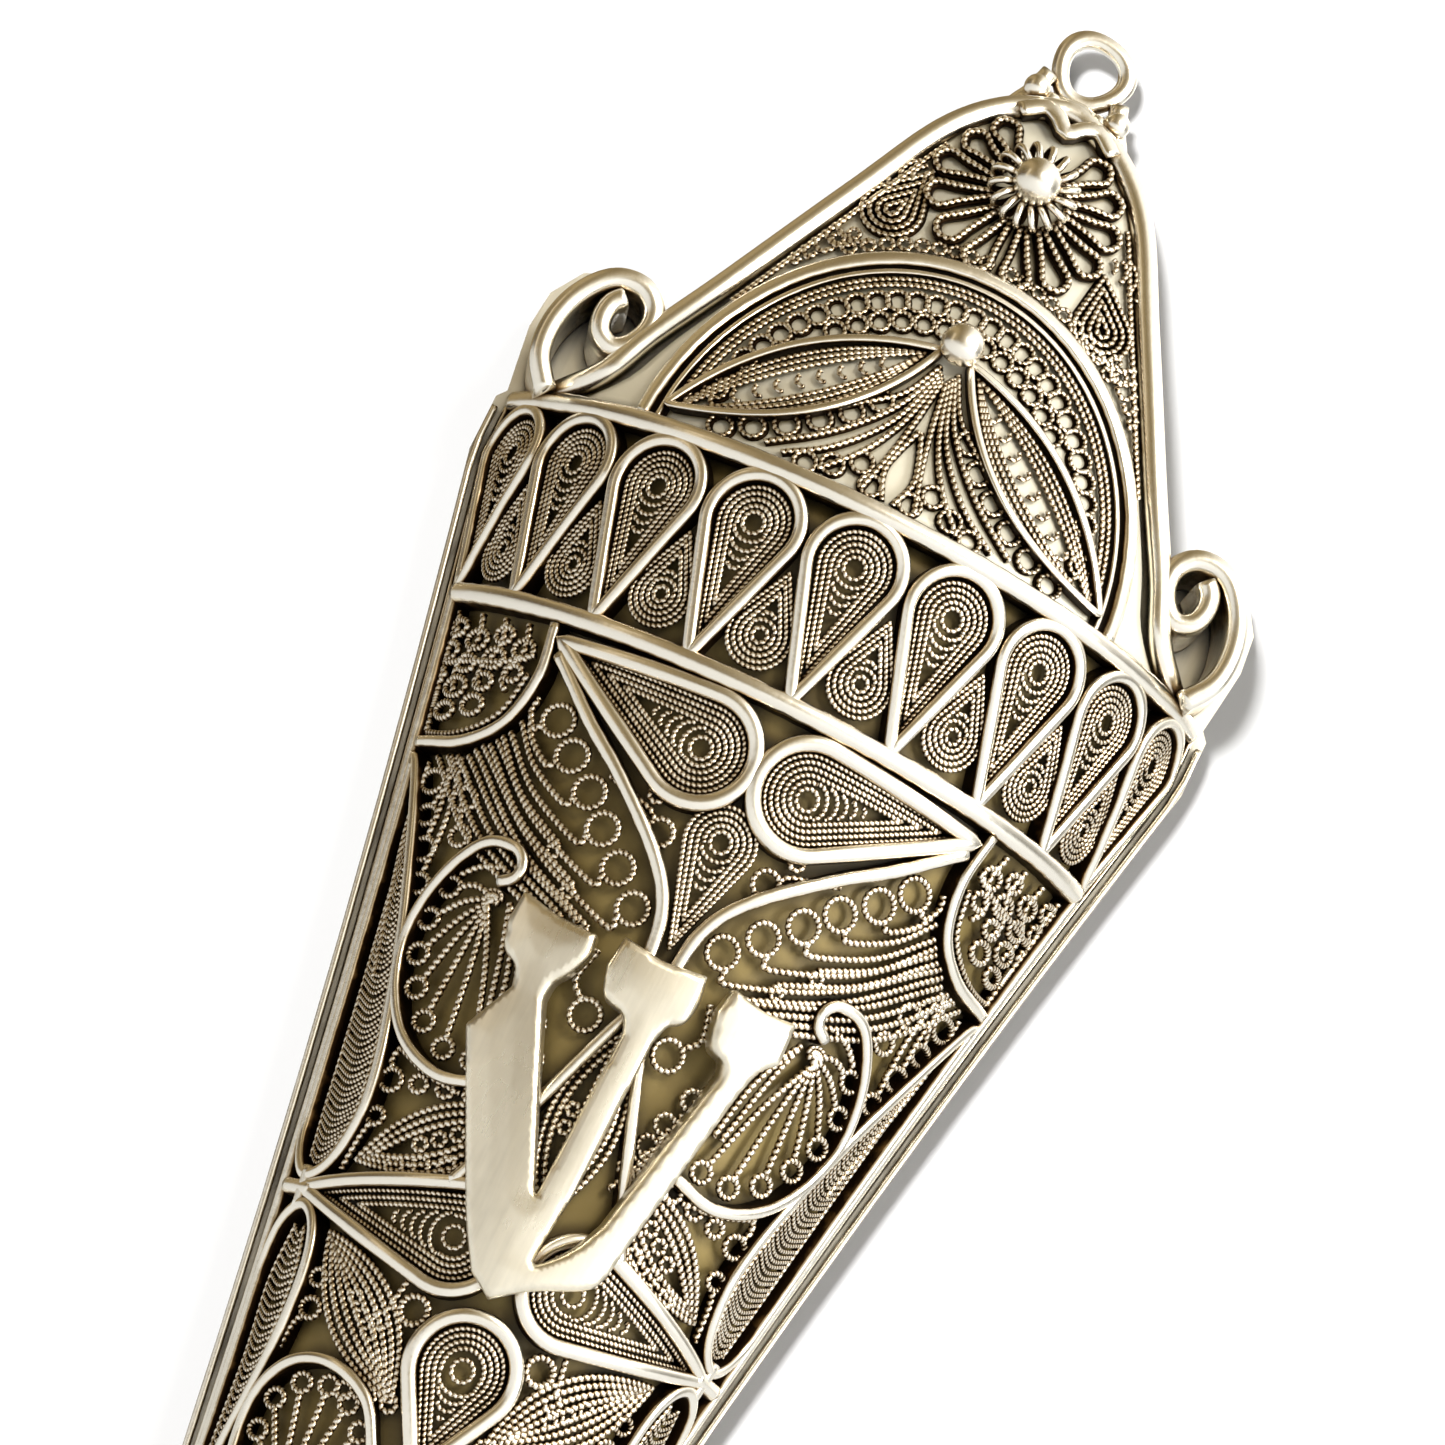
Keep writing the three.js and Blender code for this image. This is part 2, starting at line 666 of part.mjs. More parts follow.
function letterShape() {
  const shape = new THREE.Shape();
  shape.moveTo(-0.4, -72.3);
  shape.quadraticCurveTo(1.2, -71, 3.2, -70);
  shape.quadraticCurveTo(4, -69.3, 4.1, -67.6);
  shape.lineTo(5.7, -58.3);
  shape.quadraticCurveTo(6.1, -56.6, 6.8, -56.1);
  shape.lineTo(6.7, -54);
  shape.quadraticCurveTo(5.1, -54.5, 3.5, -53.9);
  shape.quadraticCurveTo(3, -55.2, 3.6, -56.9);
  shape.quadraticCurveTo(4.6, -57.1, 4.6, -57.9);
  shape.lineTo(2.6, -67.2);
  shape.quadraticCurveTo(2.2, -68.9, 1.4, -69.3);
  shape.quadraticCurveTo(0.7, -68.2, 1, -66.2);
  shape.lineTo(1.2, -58);
  shape.quadraticCurveTo(1.4, -56.9, 2.1, -56.5);
  shape.quadraticCurveTo(2.4, -55.3, 2.1, -54);
  shape.quadraticCurveTo(0, -54.5, -2, -54);
  shape.quadraticCurveTo(-2.4, -55.6, -1.7, -57);
  shape.quadraticCurveTo(-0.3, -57.4, -0.2, -58.2);
  shape.lineTo(-0.5, -66.6);
  shape.lineTo(-4.1, -58.3);
  shape.quadraticCurveTo(-4.2, -57.4, -3.6, -56.8);
  shape.quadraticCurveTo(-2.9, -55.6, -3.2, -54.5);
  shape.quadraticCurveTo(-5.2, -54.4, -7, -53.9);
  shape.quadraticCurveTo(-7.3, -55.4, -6.7, -56.8);
  shape.quadraticCurveTo(-5.7, -57.4, -5.6, -58.4);
  shape.lineTo(-6.7, -60.9);
  shape.lineTo(-2.9, -69.2);
  shape.quadraticCurveTo(-1.6, -71.8, -0.4, -72.3);
  return shape;
}

function raisedLetter() {
  const outline = letterShape().getPoints(3).slice(0, -1);
  const flat = toPairs(outline).map(onBody);
  const plate = prism(new THREE.Shape(toVectors(flat)), LETTER_LIFT, LETTER_LIFT + LETTER_THICK);
  return bent(plate, bodyFace);
}

place("raised_letter", raisedLetter(), satinSilver);

// ---- the crown ----------------------------------------------------------------------------
const CROWN_FLOOR_Z = TOP_RAIL_Z + RAIL_HEIGHT / 2 + FIT;
const CROWN_SHELL_INSET = 0.75; // inside the crown's outline, and
const CROWN_SHELL_DROP = 1.6; // below its apex

place(
  "crown_shell",
  sheet(12, 10, (s, t, n) => {
    const z = THREE.MathUtils.lerp(CROWN_FLOOR_Z, CROWN_APEX_Z - CROWN_SHELL_DROP, t);
    const edge = onCrown([Math.max(crownHalfWidth(z) - CROWN_SHELL_INSET, 0.3), z])[0];
    return crownFace(edge * (2 * s - 1), z, -LINING_DEPTH - SHEET * (1 - n));
  }),
  crownSheet,
);

// A strip on edge: it stands on the back plate and reaches forward to a depth given at each point.
function standingStrip(points, width, frontY) {
  return wireAlong(points, OPEN, width, 0, 1, (x, z, n) => [
    x,
    THREE.MathUtils.lerp(BASE_Y, frontY(x, z), n),
    z,
  ]);
}

const CROWN_STRIP = 0.9;
const CROWN_STRIP_FOOT_Z = -29.3;
const crownFrontY = (x, z) => crownFace(...onCrown([x, z]), 0)[1];
const crownLine = [...mirrored(crownSide).reverse(), ...crownSide].filter(
  ([, z]) => z > CROWN_STRIP_FOOT_Z,
);
place("crown_frame", standingStrip(crownLine, CROWN_STRIP, crownFrontY), brightSilver);

const crown = new WireField(crownFace, onCrown);
crown.keepClear(crownLine.map(onCrown), OPEN, CROWN_STRIP + 2 * WIRE_GAP);
crown.keepClear(levelLine(TOP_RAIL_Z, CROWN_RADIUS), OPEN, RAIL_HEIGHT + 2 * WIRE_GAP);

const archLine = [];
const ARCH_STEPS = 24;
for (let i = 0; i <= ARCH_STEPS; i += 1) {
  const angle = Math.PI * (1 - i / ARCH_STEPS);
  archLine.push([
    ARCH_HALF_WIDTH * Math.cos(angle),
    ARCH_FOOT_Z + ARCH_RISE * Math.sin(angle),
  ]);
}
crown.lay("crown_arch", OPEN, archLine);

const LUNETTE_BALL = [0, -19.3];
const LEAF_TIP = [-12.1, -28.6];
for (const [word, side] of Object.entries(SIDES)) {
  const outline = leaf([-0.9, -20], LEAF_TIP, 2.1, 1.7);
  crown.lay(`${word}_lunette_leaf`, CLOSED, sided(outline, side));
}

function crownFiligree(name, columns, rows, placeFlat) {
  place(
    name,
    sheet(columns, rows, (s, t, n) => {
      const [u, z] = onCrown(placeFlat(s, t));
      return crownFace(u, z, -FILIGREE_DEPTH + FILIGREE_RISE * n);
    }),
    filigreeSilver,
  );
}

const FIELD_CLEAR = 0.75; // from a frame's middle to the filigree inside it
crownFiligree("lunette_filigree", 12, 8, (s, t) => {
  const z = THREE.MathUtils.lerp(CROWN_FLOOR_Z, ARCH_FOOT_Z + ARCH_RISE - FIELD_CLEAR, t);
  const reach = Math.max(archHalfWidth(z + 0.5) - FIELD_CLEAR, 0.5);
  return [reach * (2 * s - 1), z];
});

// The spandrel field lies over the arch and narrows to nothing where arch and frame meet.
const SPANDREL_HALF_WIDTH = 9.2;
const SPANDREL_CLEAR = 0.9; // from the crown's frame
const SPANDREL_TOP_Z = CROWN_APEX_Z - 1.5;
crownFiligree("spandrel_filigree", 16, 3, (s, t) => {
  const x = SPANDREL_HALF_WIDTH * (2 * s - 1);
  const low = archTop(x) + FIELD_CLEAR;
  let high = low + 0.3;
  while (high < SPANDREL_TOP_Z && crownHalfWidth(high) > Math.abs(x) + SPANDREL_CLEAR) {
    high += 0.1;
  }
  return [x, THREE.MathUtils.lerp(low, high, t)];
});

// ---- rosette, granules and rings ----------------------------------------------------------
const ROSETTE = [0, -7.7];
const ROSETTE_REACH = 4.9;
const PETALS = 12;
const PETAL_NOTCH = 1.3; // depth of the notch between two petals
const PETAL_LOW = -0.45; // the petals lie this far under the wires' top
const PETAL_HIGH = -0.1;

function rosettePetals() {
  const points = [];
  const roof = CROWN_APEX_Z - 1.9;
  for (let i = 0; i < PETALS * 4; i += 1) {
    const angle = (Math.PI * i) / (PETALS * 2);
    const reach = ROSETTE_REACH - PETAL_NOTCH * Math.sin((PETALS * angle) / 2) ** 2;
    const x = ROSETTE[0] + reach * Math.cos(angle);
    const z = Math.min(ROSETTE[1] + reach * Math.sin(angle), roof);
    const room = crownHalfWidth(z) - 1;
    points.push([THREE.MathUtils.clamp(x, -room, room), z]);
  }
  const shape = new THREE.Shape(toVectors(points.map(onCrown)));
  return bent(prism(shape, PETAL_LOW, PETAL_HIGH), crownFace);
}

// A ring lies with its hole along y, centred on x, y and z. So does a granule.
function ring(name, radius, wire, x, y, z) {
  const profile = [];
  for (let i = 0; i <= RING_SIDES; i += 1) {
    const angle = (2 * Math.PI * i) / RING_SIDES;
    profile.push(new THREE.Vector2(radius + wire * Math.cos(angle), wire * Math.sin(angle)));
  }
  const torus = new THREE.LatheGeometry(profile, RING_STEPS);
  place(name, torus, brightSilver).position.set(x, y, z);
}

function granule(name, radius, around, x, y, z) {
  const ball = new THREE.SphereGeometry(radius, around, Math.round(around * 0.68));
  place(name, ball, brightSilver).position.set(x, y, z);
}

const ROSETTE_BALL = 0.85;
const ROSETTE_BALL_RISE = 1.5; // of its centre, over the crown's face
const COLLAR_RADIUS = 1.45;
const COLLAR_WIRE = 0.5;
const COLLAR_RISE = 1.1;
const BALL = 1.05;
const BALL_STEPS = 12;
place("rosette_petals", rosettePetals(), filigreeSilver);
const [rosetteX, rosetteZ] = ROSETTE;
const rosetteY = crownFrontY(...ROSETTE);
ring("rosette_coil", COLLAR_RADIUS, COLLAR_WIRE, rosetteX, rosetteY - COLLAR_RISE, rosetteZ);
const rosetteBallY = rosetteY - ROSETTE_BALL_RISE;
granule("rosette_ball", ROSETTE_BALL, BALL_STEPS, rosetteX, rosetteBallY, rosetteZ);
const [ballX, ballZ] = LUNETTE_BALL;
const lunetteBallY = crownFrontY(...LUNETTE_BALL) - BALL - FIT / 2;
granule("lunette_ball", BALL, BALL_STEPS, ballX, lunetteBallY, ballZ);
ring("hanging_ring", RING_RADIUS, RING_WIRE, 0, RING_Y, 0);

const RING_BALL = 0.6;
const RING_BALL_STEPS = 10;
const RING_BALL_X = 2.15;
const RING_BALL_RISE = 1.3; // in front of the nail ring's wire
const RING_BALL_Z = -2.55;
for (const [word, side] of Object.entries(SIDES)) {
  const y = RING_Y - RING_BALL_RISE;
  const x = -RING_BALL_X * side;
  granule(`${word}_ring_ball`, RING_BALL, RING_BALL_STEPS, x, y, RING_BALL_Z);
}

// ---- volutes: a strip on edge, curled over beside the crown ---------------------------------
const VOLUTE = [
  [-18.35, -29],
  [-19.3, -27.2],
  [-19.45, -24.6],
  [-18.3, -22.3],
  [-16.3, -21.6],
  [-14.7, -22.9],
  [-14.9, -25],
  [-16.1, -25.5],
  [-16.9, -24.4],
  [-16.2, -23.4],
];
const VOLUTE_DEPTH = 5.6;
const VOLUTE_STRIP = 0.8;
for (const [word, side] of Object.entries(SIDES)) {
  const line = sided(spline(VOLUTE, 26), side);
  const strip = standingStrip(line, VOLUTE_STRIP, () => BASE_Y - VOLUTE_DEPTH);
  place(`${word}_volute`, strip, brightSilver);
}

// ---- tail: a small drop on the back plate's tongue, with a second nail ring -----------------
const TAIL_STRIP = 0.8;
const TAIL_RISE = 1.3;
const TAIL_RING_Z = -112.8;
const TAIL_DROP = teardrop([0, -103.6], 2.2, [0, -108.6], 12);
place(
  "tail_drop",
  wireAlong(TAIL_DROP, CLOSED, TAIL_STRIP, -BASE_Y, TAIL_RISE - BASE_Y, upright),
  brightSilver,
);
ring("tail_ring", RING_RADIUS, RING_WIRE, 0, RING_Y, TAIL_RING_Z);

export default model;
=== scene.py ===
"""The looks of a silver filigree mezuzah case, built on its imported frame.

Lengths are in millimetres until a piece's mesh is made. The body and the crown are curved faces:
a wire is drawn flat, as x and z seen from the front, then unrolled and bent onto its face. On a
face, h is the height above the top of the frame wires.
"""

import math

import bpy
import numpy as np
from mathutils import Matrix, Vector
from mathutils.geometry import delaunay_2d_cdt


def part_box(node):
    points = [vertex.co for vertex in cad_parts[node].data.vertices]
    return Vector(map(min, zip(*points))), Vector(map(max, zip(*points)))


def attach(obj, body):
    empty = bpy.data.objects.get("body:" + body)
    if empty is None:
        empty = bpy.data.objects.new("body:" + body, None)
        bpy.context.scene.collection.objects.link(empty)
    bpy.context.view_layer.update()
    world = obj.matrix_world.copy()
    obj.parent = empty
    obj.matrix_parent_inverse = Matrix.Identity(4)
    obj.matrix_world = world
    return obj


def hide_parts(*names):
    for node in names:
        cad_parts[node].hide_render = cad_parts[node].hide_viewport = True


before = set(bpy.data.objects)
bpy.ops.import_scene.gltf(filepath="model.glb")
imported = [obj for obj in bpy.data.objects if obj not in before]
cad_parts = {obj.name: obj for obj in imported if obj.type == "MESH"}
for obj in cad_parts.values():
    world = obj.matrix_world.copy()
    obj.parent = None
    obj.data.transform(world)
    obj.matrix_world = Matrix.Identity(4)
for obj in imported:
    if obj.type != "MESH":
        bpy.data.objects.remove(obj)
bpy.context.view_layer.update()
MM = 0.001


# ---- the frame's own places, in millimetres ----
def low(node):
    return np.array(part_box(node)[0]) / MM


def high(node):
    return np.array(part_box(node)[1]) / MM


def middle(node):
    return (low(node) + high(node)) / 2


FIT = 0.1  # the gap that the frame keeps between soldered neighbours
TOP_RAIL_Z = middle("band_top_rail")[2]
BOTTOM_RAIL_Z = middle("band_bottom_rail")[2]
RAIL_HEIGHT = high("band_top_rail")[2] - low("band_top_rail")[2]
FOOT_Z = low("bottom_end_plate")[2]
BASE_Y = low("back_plate")[1] - FIT  # where the curved front meets the back plate
CROWN_APEX_Z = high("crown_frame")[2] - 0.45  # to the middle of the frame strip
SHOULDER_Z = -33.0  # the body's sides taper below this height
HALF_WIDTH = 19.8  # of the body at the band
TAPER = 0.222  # half-width lost per mm below the shoulder
FLARE = 0.0007  # what the taper gives back per mm squared
DEPTH_TOP = 13.5  # how far the front stands off the back plate at the band
DEPTH_FOOT = 8.2  # and at the foot
CROWN_RADIUS = 21.3  # of the crown's curved face
CROWN_LEAN = 0.445  # how far that face leans back per mm of height
LINING = -1.15  # height of the body's backing sheet on its face
CROWN_LINING = -0.88  # the crown's sheet lies nearer to its wires
EDGE_INSET = 1.1  # from the body's edge to the edge wire

WIRE = 0.75  # width of the plain frame wire
RAIL = 1.05  # width of the band's rails
TWIST = 0.4  # over a twisted wire
TWIST_PITCH = 0.36  # from one bead of the twist to the next
TWIST_H = -0.55  # height of its middle
ROW = 0.45  # from one row of twisted wire to the next
FINE = 0.3  # over the finer wire that fills the drops
FINE_PITCH = 0.28
FINE_ROW = 0.32  # from one row of it to the next
SHEET = 0.5  # thickness of the backing sheets
SHELL_INSET = 0.6  # from the body's edge to its sheet
UNDER_EDGE = 0.55  # how far inside the edge wire's middle a wire may reach


# ---- the curved faces ----
def half_width(z):
    below = np.maximum(SHOULDER_Z - z, 0)
    return HALF_WIDTH - TAPER * below + FLARE * below**2


def body_arc(z):
    """Radius, half angle and centre of the body's section at a height."""
    down = np.clip((TOP_RAIL_Z - z) / (TOP_RAIL_Z - FOOT_Z), 0, 1)
    deep = DEPTH_TOP + (DEPTH_FOOT - DEPTH_TOP) * down
    wide = half_width(z)
    radius = (wide**2 + deep**2) / (2 * deep)
    return radius, 2 * np.arctan(deep / wide), BASE_Y - deep + radius


def body_face(u, z, h):
    radius, _, centre = body_arc(z)
    turn = u / radius
    return np.stack([(radius + h) * np.sin(turn), centre - (radius + h) * np.cos(turn), z], -1)


def body_edge(z):
    radius, half, _ = body_arc(z)
    return radius * half


def crown_face(u, z, h):
    front = BASE_Y - DEPTH_TOP + CROWN_LEAN * (z - TOP_RAIL_Z)
    turn = u / CROWN_RADIUS
    reach = CROWN_RADIUS + h
    y = front + CROWN_RADIUS - reach * np.cos(turn)
    return np.stack([reach * np.sin(turn), y, z], -1)


def plate_face(u, z, h):
    """The flat front of the back plate, h in front of it."""
    return np.stack([u, BASE_Y - h, z + 0 * u], -1)


def unroll_body(line):
    """Distance round the curve for each x, kept inside the edge wire."""
    radius = body_arc(line[:, 1])[0]
    around = radius * np.arcsin(np.clip(line[:, 0] / radius, -1, 1))
    limit = body_edge(line[:, 1]) - EDGE_INSET - UNDER_EDGE
    return np.stack([np.clip(around, -limit, limit), line[:, 1]], 1)


def unroll_crown(line):
    turn = np.arcsin(np.clip(line[:, 0] / CROWN_RADIUS, -1, 1))
    return np.stack([CROWN_RADIUS * turn, line[:, 1]], 1)


def as_drawn(line):
    return line


BODY = (body_face, unroll_body)
UNROLLED = (body_face, as_drawn)  # for lines whose first number is the distance round the curve
CROWN = (crown_face, unroll_crown)
PLATE = (plate_face, as_drawn)


# ---- flat lines ----
def array(points):
    return np.array(points, float).reshape(-1, 2)


def mirrored(points, side):
    return array(points) * [side, 1]


def sideways(way):
    """The way a quarter turn to the right."""
    return np.array([way[1], -way[0]])


def evenly(line, step, closed=False, multiple=1):
    """The line as points a step apart. A closed one takes a multiple of a number of steps."""
    line = array(line)
    if closed:
        line = np.vstack([line, line[:1]])
    run = np.concatenate([[0], np.cumsum(np.hypot(*np.diff(line, axis=0).T))])
    count = max(int(round(run[-1] / step / multiple)), 1) * multiple
    at = np.linspace(0, run[-1], max(count, 3) + 1)
    if closed:
        at = at[:-1]
    return np.stack([np.interp(at, run, line[:, 0]), np.interp(at, run, line[:, 1])], 1)


def spline(points, closed=False, fine=12):
    """A smooth line through the points."""
    points = array(points)
    if closed:
        around = np.vstack([points[-1:], points, points[:2]])
    else:
        before, after = 2 * points[0] - points[1], 2 * points[-1] - points[-2]
        around = np.vstack([before, points, after])
    t = np.linspace(0, 1, fine, endpoint=False)[:, None]
    parts = []
    for a, b, c, d in zip(around, around[1:], around[2:], around[3:]):
        bend = 2 * a - 5 * b + 4 * c - d
        parts.append(b + 0.5 * t * (c - a + t * (bend + t * (3 * (b - c) + d - a))))
    if not closed:
        parts.append(points[-1:])
    return np.vstack(parts)


def circle(centre, radius, start=0.0, sweep=2 * math.pi, fine=24):
    turn = start + np.linspace(0, sweep, fine, endpoint=abs(sweep) < 2 * math.pi)
    return np.array(centre) + radius * np.stack([np.cos(turn), np.sin(turn)], 1)


def teardrop(centre, radius, tip, fine=40):
    """A round end about a centre and two straight sides that meet at the tip."""
    centre, tip = np.array(centre, float), np.array(tip, float)
    way = tip - centre
    toward = math.atan2(way[1], way[0])
    touch = math.acos(radius / np.hypot(*way))
    round_end = circle(centre, radius, toward + touch, 2 * math.pi - 2 * touch, fine)
    return np.vstack([tip, round_end])


def leaf(start, end, right, left, fine=24):
    """A leaf between two tips, bulging to each side of the way from start to end."""
    start, end = np.array(start, float), np.array(end, float)
    way = (end - start) / np.hypot(*(end - start))
    aside = sideways(way)
    t = np.linspace(0, 1, fine, endpoint=False)[:, None]
    there = start + (end - start) * t + aside * right * 4 * t * (1 - t)
    back = end + (start - end) * t - aside * left * 4 * t * (1 - t)
    return np.vstack([there, back])


# ---- meshes ----
class Piece:
    """A mesh in the making. A value at each point, from 0 in the hollows to 1 on top, sets the
    patina and a painted shade, darker down the sides of wires and strips and in their grooves.
    """

    def __init__(self, ground=PLATE):
        self.face, self.unroll = ground
        self.points, self.polish, self.quads, self.triangles = [], [], [], []
        self.count = 0

    def skin(self, rings, polish, closed=False):
        """Joins rings of points, first to last, into a tube with flat ends."""
        steps, around = rings.shape[:2]
        index = self.count + np.arange(steps * around).reshape(steps, around)
        ahead = np.roll(index, -1, 0) if closed else index[1:]
        here = index if closed else index[:-1]
        quads = np.stack([here, np.roll(here, -1, 1), np.roll(ahead, -1, 1), ahead], -1)
        self.quads.append(quads.reshape(-1, 4))
        if not closed:
            for ring, order in ((index[0], (0, 2, 1)), (index[-1], (0, 1, 2))):
                fan = np.stack([np.full(around - 2, ring[0]), ring[1:-1], ring[2:]], 1)
                self.triangles.append(fan[:, order])
        self.points.append(rings.reshape(-1, 3))
        self.polish.append(np.broadcast_to(polish, (steps, around)).reshape(-1))
        self.count += steps * around

    def sweep(self, line, across, rise, polish, closed):
        """A section, across and rise at each step of a flat line, bent onto the face."""
        after = np.roll(line, -1, 0) if closed else np.vstack([line[1:], 2 * line[-1] - line[-2]])
        before = np.roll(line, 1, 0) if closed else np.vstack([2 * line[0] - line[1], line[:-1]])
        along = after - before
        along /= np.maximum(np.hypot(*along.T), 1e-9)[:, None]
        u = line[:, :1] + across * along[:, 1:]
        z = line[:, 1:] - across * along[:, :1]
        self.skin(self.face(u, z, rise + 0 * u), polish, closed)

    def twist(self, line, closed=False, width=TWIST, h=TWIST_H, pitch=TWIST_PITCH):
        """Two strands twisted together and rolled, so that each crossing is a bead."""
        beads, sides, slant = 4, 8, 0.75
        line = evenly(self.unroll(array(line)), pitch / beads, closed, beads if closed else 1)
        turn = 2 * np.pi * np.arange(sides) / sides
        phase = np.pi * np.arange(len(line))[:, None] / beads
        lobe = np.abs(np.cos(phase - slant * np.cos(turn)))
        reach = width / 2 * (0.66 + 0.34 * lobe)
        # painted darker in the grooves between beads and on the underside: patina and painted
        # shade
        polish = lobe * (0.62 + 0.38 * np.sin(turn))
        self.sweep(line, reach * np.cos(turn), h + reach * np.sin(turn), polish, closed)

    def strand(self, *points, width=TWIST, h=TWIST_H):
        """A twisted wire on a smooth line through the points."""
        self.twist(spline(points), width=width, h=h)

    def wire(
        self, line, closed=False, width=WIRE, top=0.0, foot=LINING, step=0.3, shine=(0.0, 1.0)
    ):
        """A plain wire with a rounded top, on the sheet below it, polished from low to high: dark
        down its sides and bright on top, patina with painted shade outlining the wire.
        """
        line = evenly(self.unroll(array(line)), step, closed)
        run = np.arange(len(line))[:, None] * step
        if closed:
            run = run * (2 * np.pi / (len(line) * step))
        hand_made = 1 + 0.05 * np.sin(2 * run + line[0, 0]) * np.sin(3 * run + line[0, 1])
        turn = np.linspace(0, np.pi, 9)
        crest = width * 0.42
        across = -width / 2 * np.cos(turn) * hand_made
        rise = top - crest + crest * np.sin(turn) ** 0.8 + 0 * run
        across = np.hstack([across[:, :1], across, across[:, -1:]])
        rise = np.hstack([0 * run + foot, rise, 0 * run + foot])
        polish = np.concatenate([[0], 0.12 + 0.88 * np.sin(turn) ** 0.7, [0]])
        self.sweep(line, across, rise, shine[0] + (shine[1] - shine[0]) * polish, closed)

    def ball(self, centre, radius, flat=1.0, around=28):
        """A granule. flat is its depth along y as a share of its width."""
        up = np.linspace(0.02, np.pi - 0.02, around // 2)[:, None]
        turn = 2 * np.pi * np.arange(around) / around
        x, y, z = np.sin(up) * np.cos(turn), np.sin(up) * np.sin(turn), np.cos(up) + 0 * turn
        self.skin(np.array(centre) + radius * np.stack([x, flat * y, z], -1)[::-1], 1.0)

    def make(self, name, material, slot, *nodes):
        """The finished piece, which moves with the case and stands for the named nodes."""
        points = np.vstack(self.points) * MM
        quads = np.vstack(self.quads) if self.quads else np.zeros((0, 4), int)
        triangles = np.vstack(self.triangles) if self.triangles else np.zeros((0, 3), int)
        corners = np.concatenate([quads.ravel(), triangles.ravel()])
        sizes = np.concatenate([np.full(len(quads), 4), np.full(len(triangles), 3)])
        mesh = bpy.data.meshes.new(name)
        mesh.vertices.add(len(points))
        mesh.vertices.foreach_set("co", points.astype(np.float32).ravel())
        mesh.loops.add(len(corners))
        mesh.loops.foreach_set("vertex_index", corners.astype(np.int32))
        mesh.polygons.add(len(sizes))
        mesh.polygons.foreach_set("loop_start", np.cumsum(np.r_[0, sizes[:-1]]).astype(np.int32))
        mesh.polygons.foreach_set("use_smooth", np.ones(len(sizes), bool))
        mesh.update(calc_edges=True)
        layer = mesh.attributes.new("polish", "FLOAT", "POINT")
        layer.data.foreach_set("value", np.concatenate(self.polish).astype(np.float32))
        mesh.materials.append(material)
        thing = bpy.data.objects.new(name, mesh)
        bpy.context.scene.collection.objects.link(thing)
        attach(thing, "case")
        if nodes:
            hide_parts(*nodes)
        return thing

    def bright(self, name, *nodes):
        return self.make(name, BRIGHT, "bright_silver", *nodes)

    def filigree(self, name, *nodes):
        return self.make(name, FILIGREE, "filigree_wire", *nodes)


# ---- materials ----
class Tree:
    """A node tree, built one node at a time."""

    def __init__(self, tree):
        self.tree = tree

    def add(self, kind, links=None, **values):
        node = self.tree.nodes.new(kind)
        for key, value in values.items():
            setattr(node, key, value)
        for socket, value in (links or {}).items():
            if isinstance(value, bpy.types.NodeSocket):
                self.tree.links.new(value, node.inputs[socket])
            else:
                node.inputs[socket].default_value = value
        return node

    def sums(self, operation, *values):
        links = dict(enumerate(values))
        return self.add("ShaderNodeMath", links, operation=operation).outputs[0]

    def ramp(self, factor, *stops):
        node = self.add("ShaderNodeValToRGB", {"Fac": factor})
        while len(node.color_ramp.elements) < len(stops):
            node.color_ramp.elements.new(0.5)
        for element, (place, colour) in zip(node.color_ramp.elements, stops):
            element.position = place
            element.color = (*colour, 1) if isinstance(colour, tuple) else (*[colour] * 3, 1)
        return node.outputs["Color"]


class Nodes(Tree):
    """A material's nodes round its one shader, whose fixed values are given by name."""

    def __init__(self, name, **fixed):
        self.material = bpy.data.materials.new(name)
        self.material.use_nodes = True
        super().__init__(self.material.node_tree)
        self.shader = self.tree.nodes["Principled BSDF"]
        for socket, value in fixed.items():
            self.shader.inputs[socket.replace("_", " ")].default_value = value

    def noise(self, scale, detail=3.0, stretch=None):
        where = self.add("ShaderNodeTexCoord").outputs["Object"]
        if stretch:
            where = self.add("ShaderNodeMapping", {"Vector": where, "Scale": stretch}).outputs[0]
        links = {"Vector": where, "Scale": scale, "Detail": detail}
        return self.add("ShaderNodeTexNoise", links).outputs["Fac"]

    def shade(self, distance, samples=6):
        """How open the surface is, from 0 in a tight hollow to 1."""
        links = {"Distance": distance * MM}
        return self.add("ShaderNodeAmbientOcclusion", links, samples=samples).outputs["AO"]

    def drive(self, socket, output):
        self.tree.links.new(output, self.shader.inputs[socket])

    def bump(self, height, distance, strength=1.0):
        links = {"Height": height, "Distance": distance * MM, "Strength": strength}
        self.drive("Normal", self.add("ShaderNodeBump", links).outputs["Normal"])


PER_MM = 1000.0  # a noise of this scale has features about a millimetre across
# the first colour is the darkest of the silver: tarnish, and painted shade in hollows and down the
# sides of wires
TARNISH_AND_SHADE = (0.020, 0.010, 0.004)
BROWN = (0.16, 0.085, 0.028)
TAN = (0.58, 0.45, 0.27)
SILVER = (0.96, 0.91, 0.79)


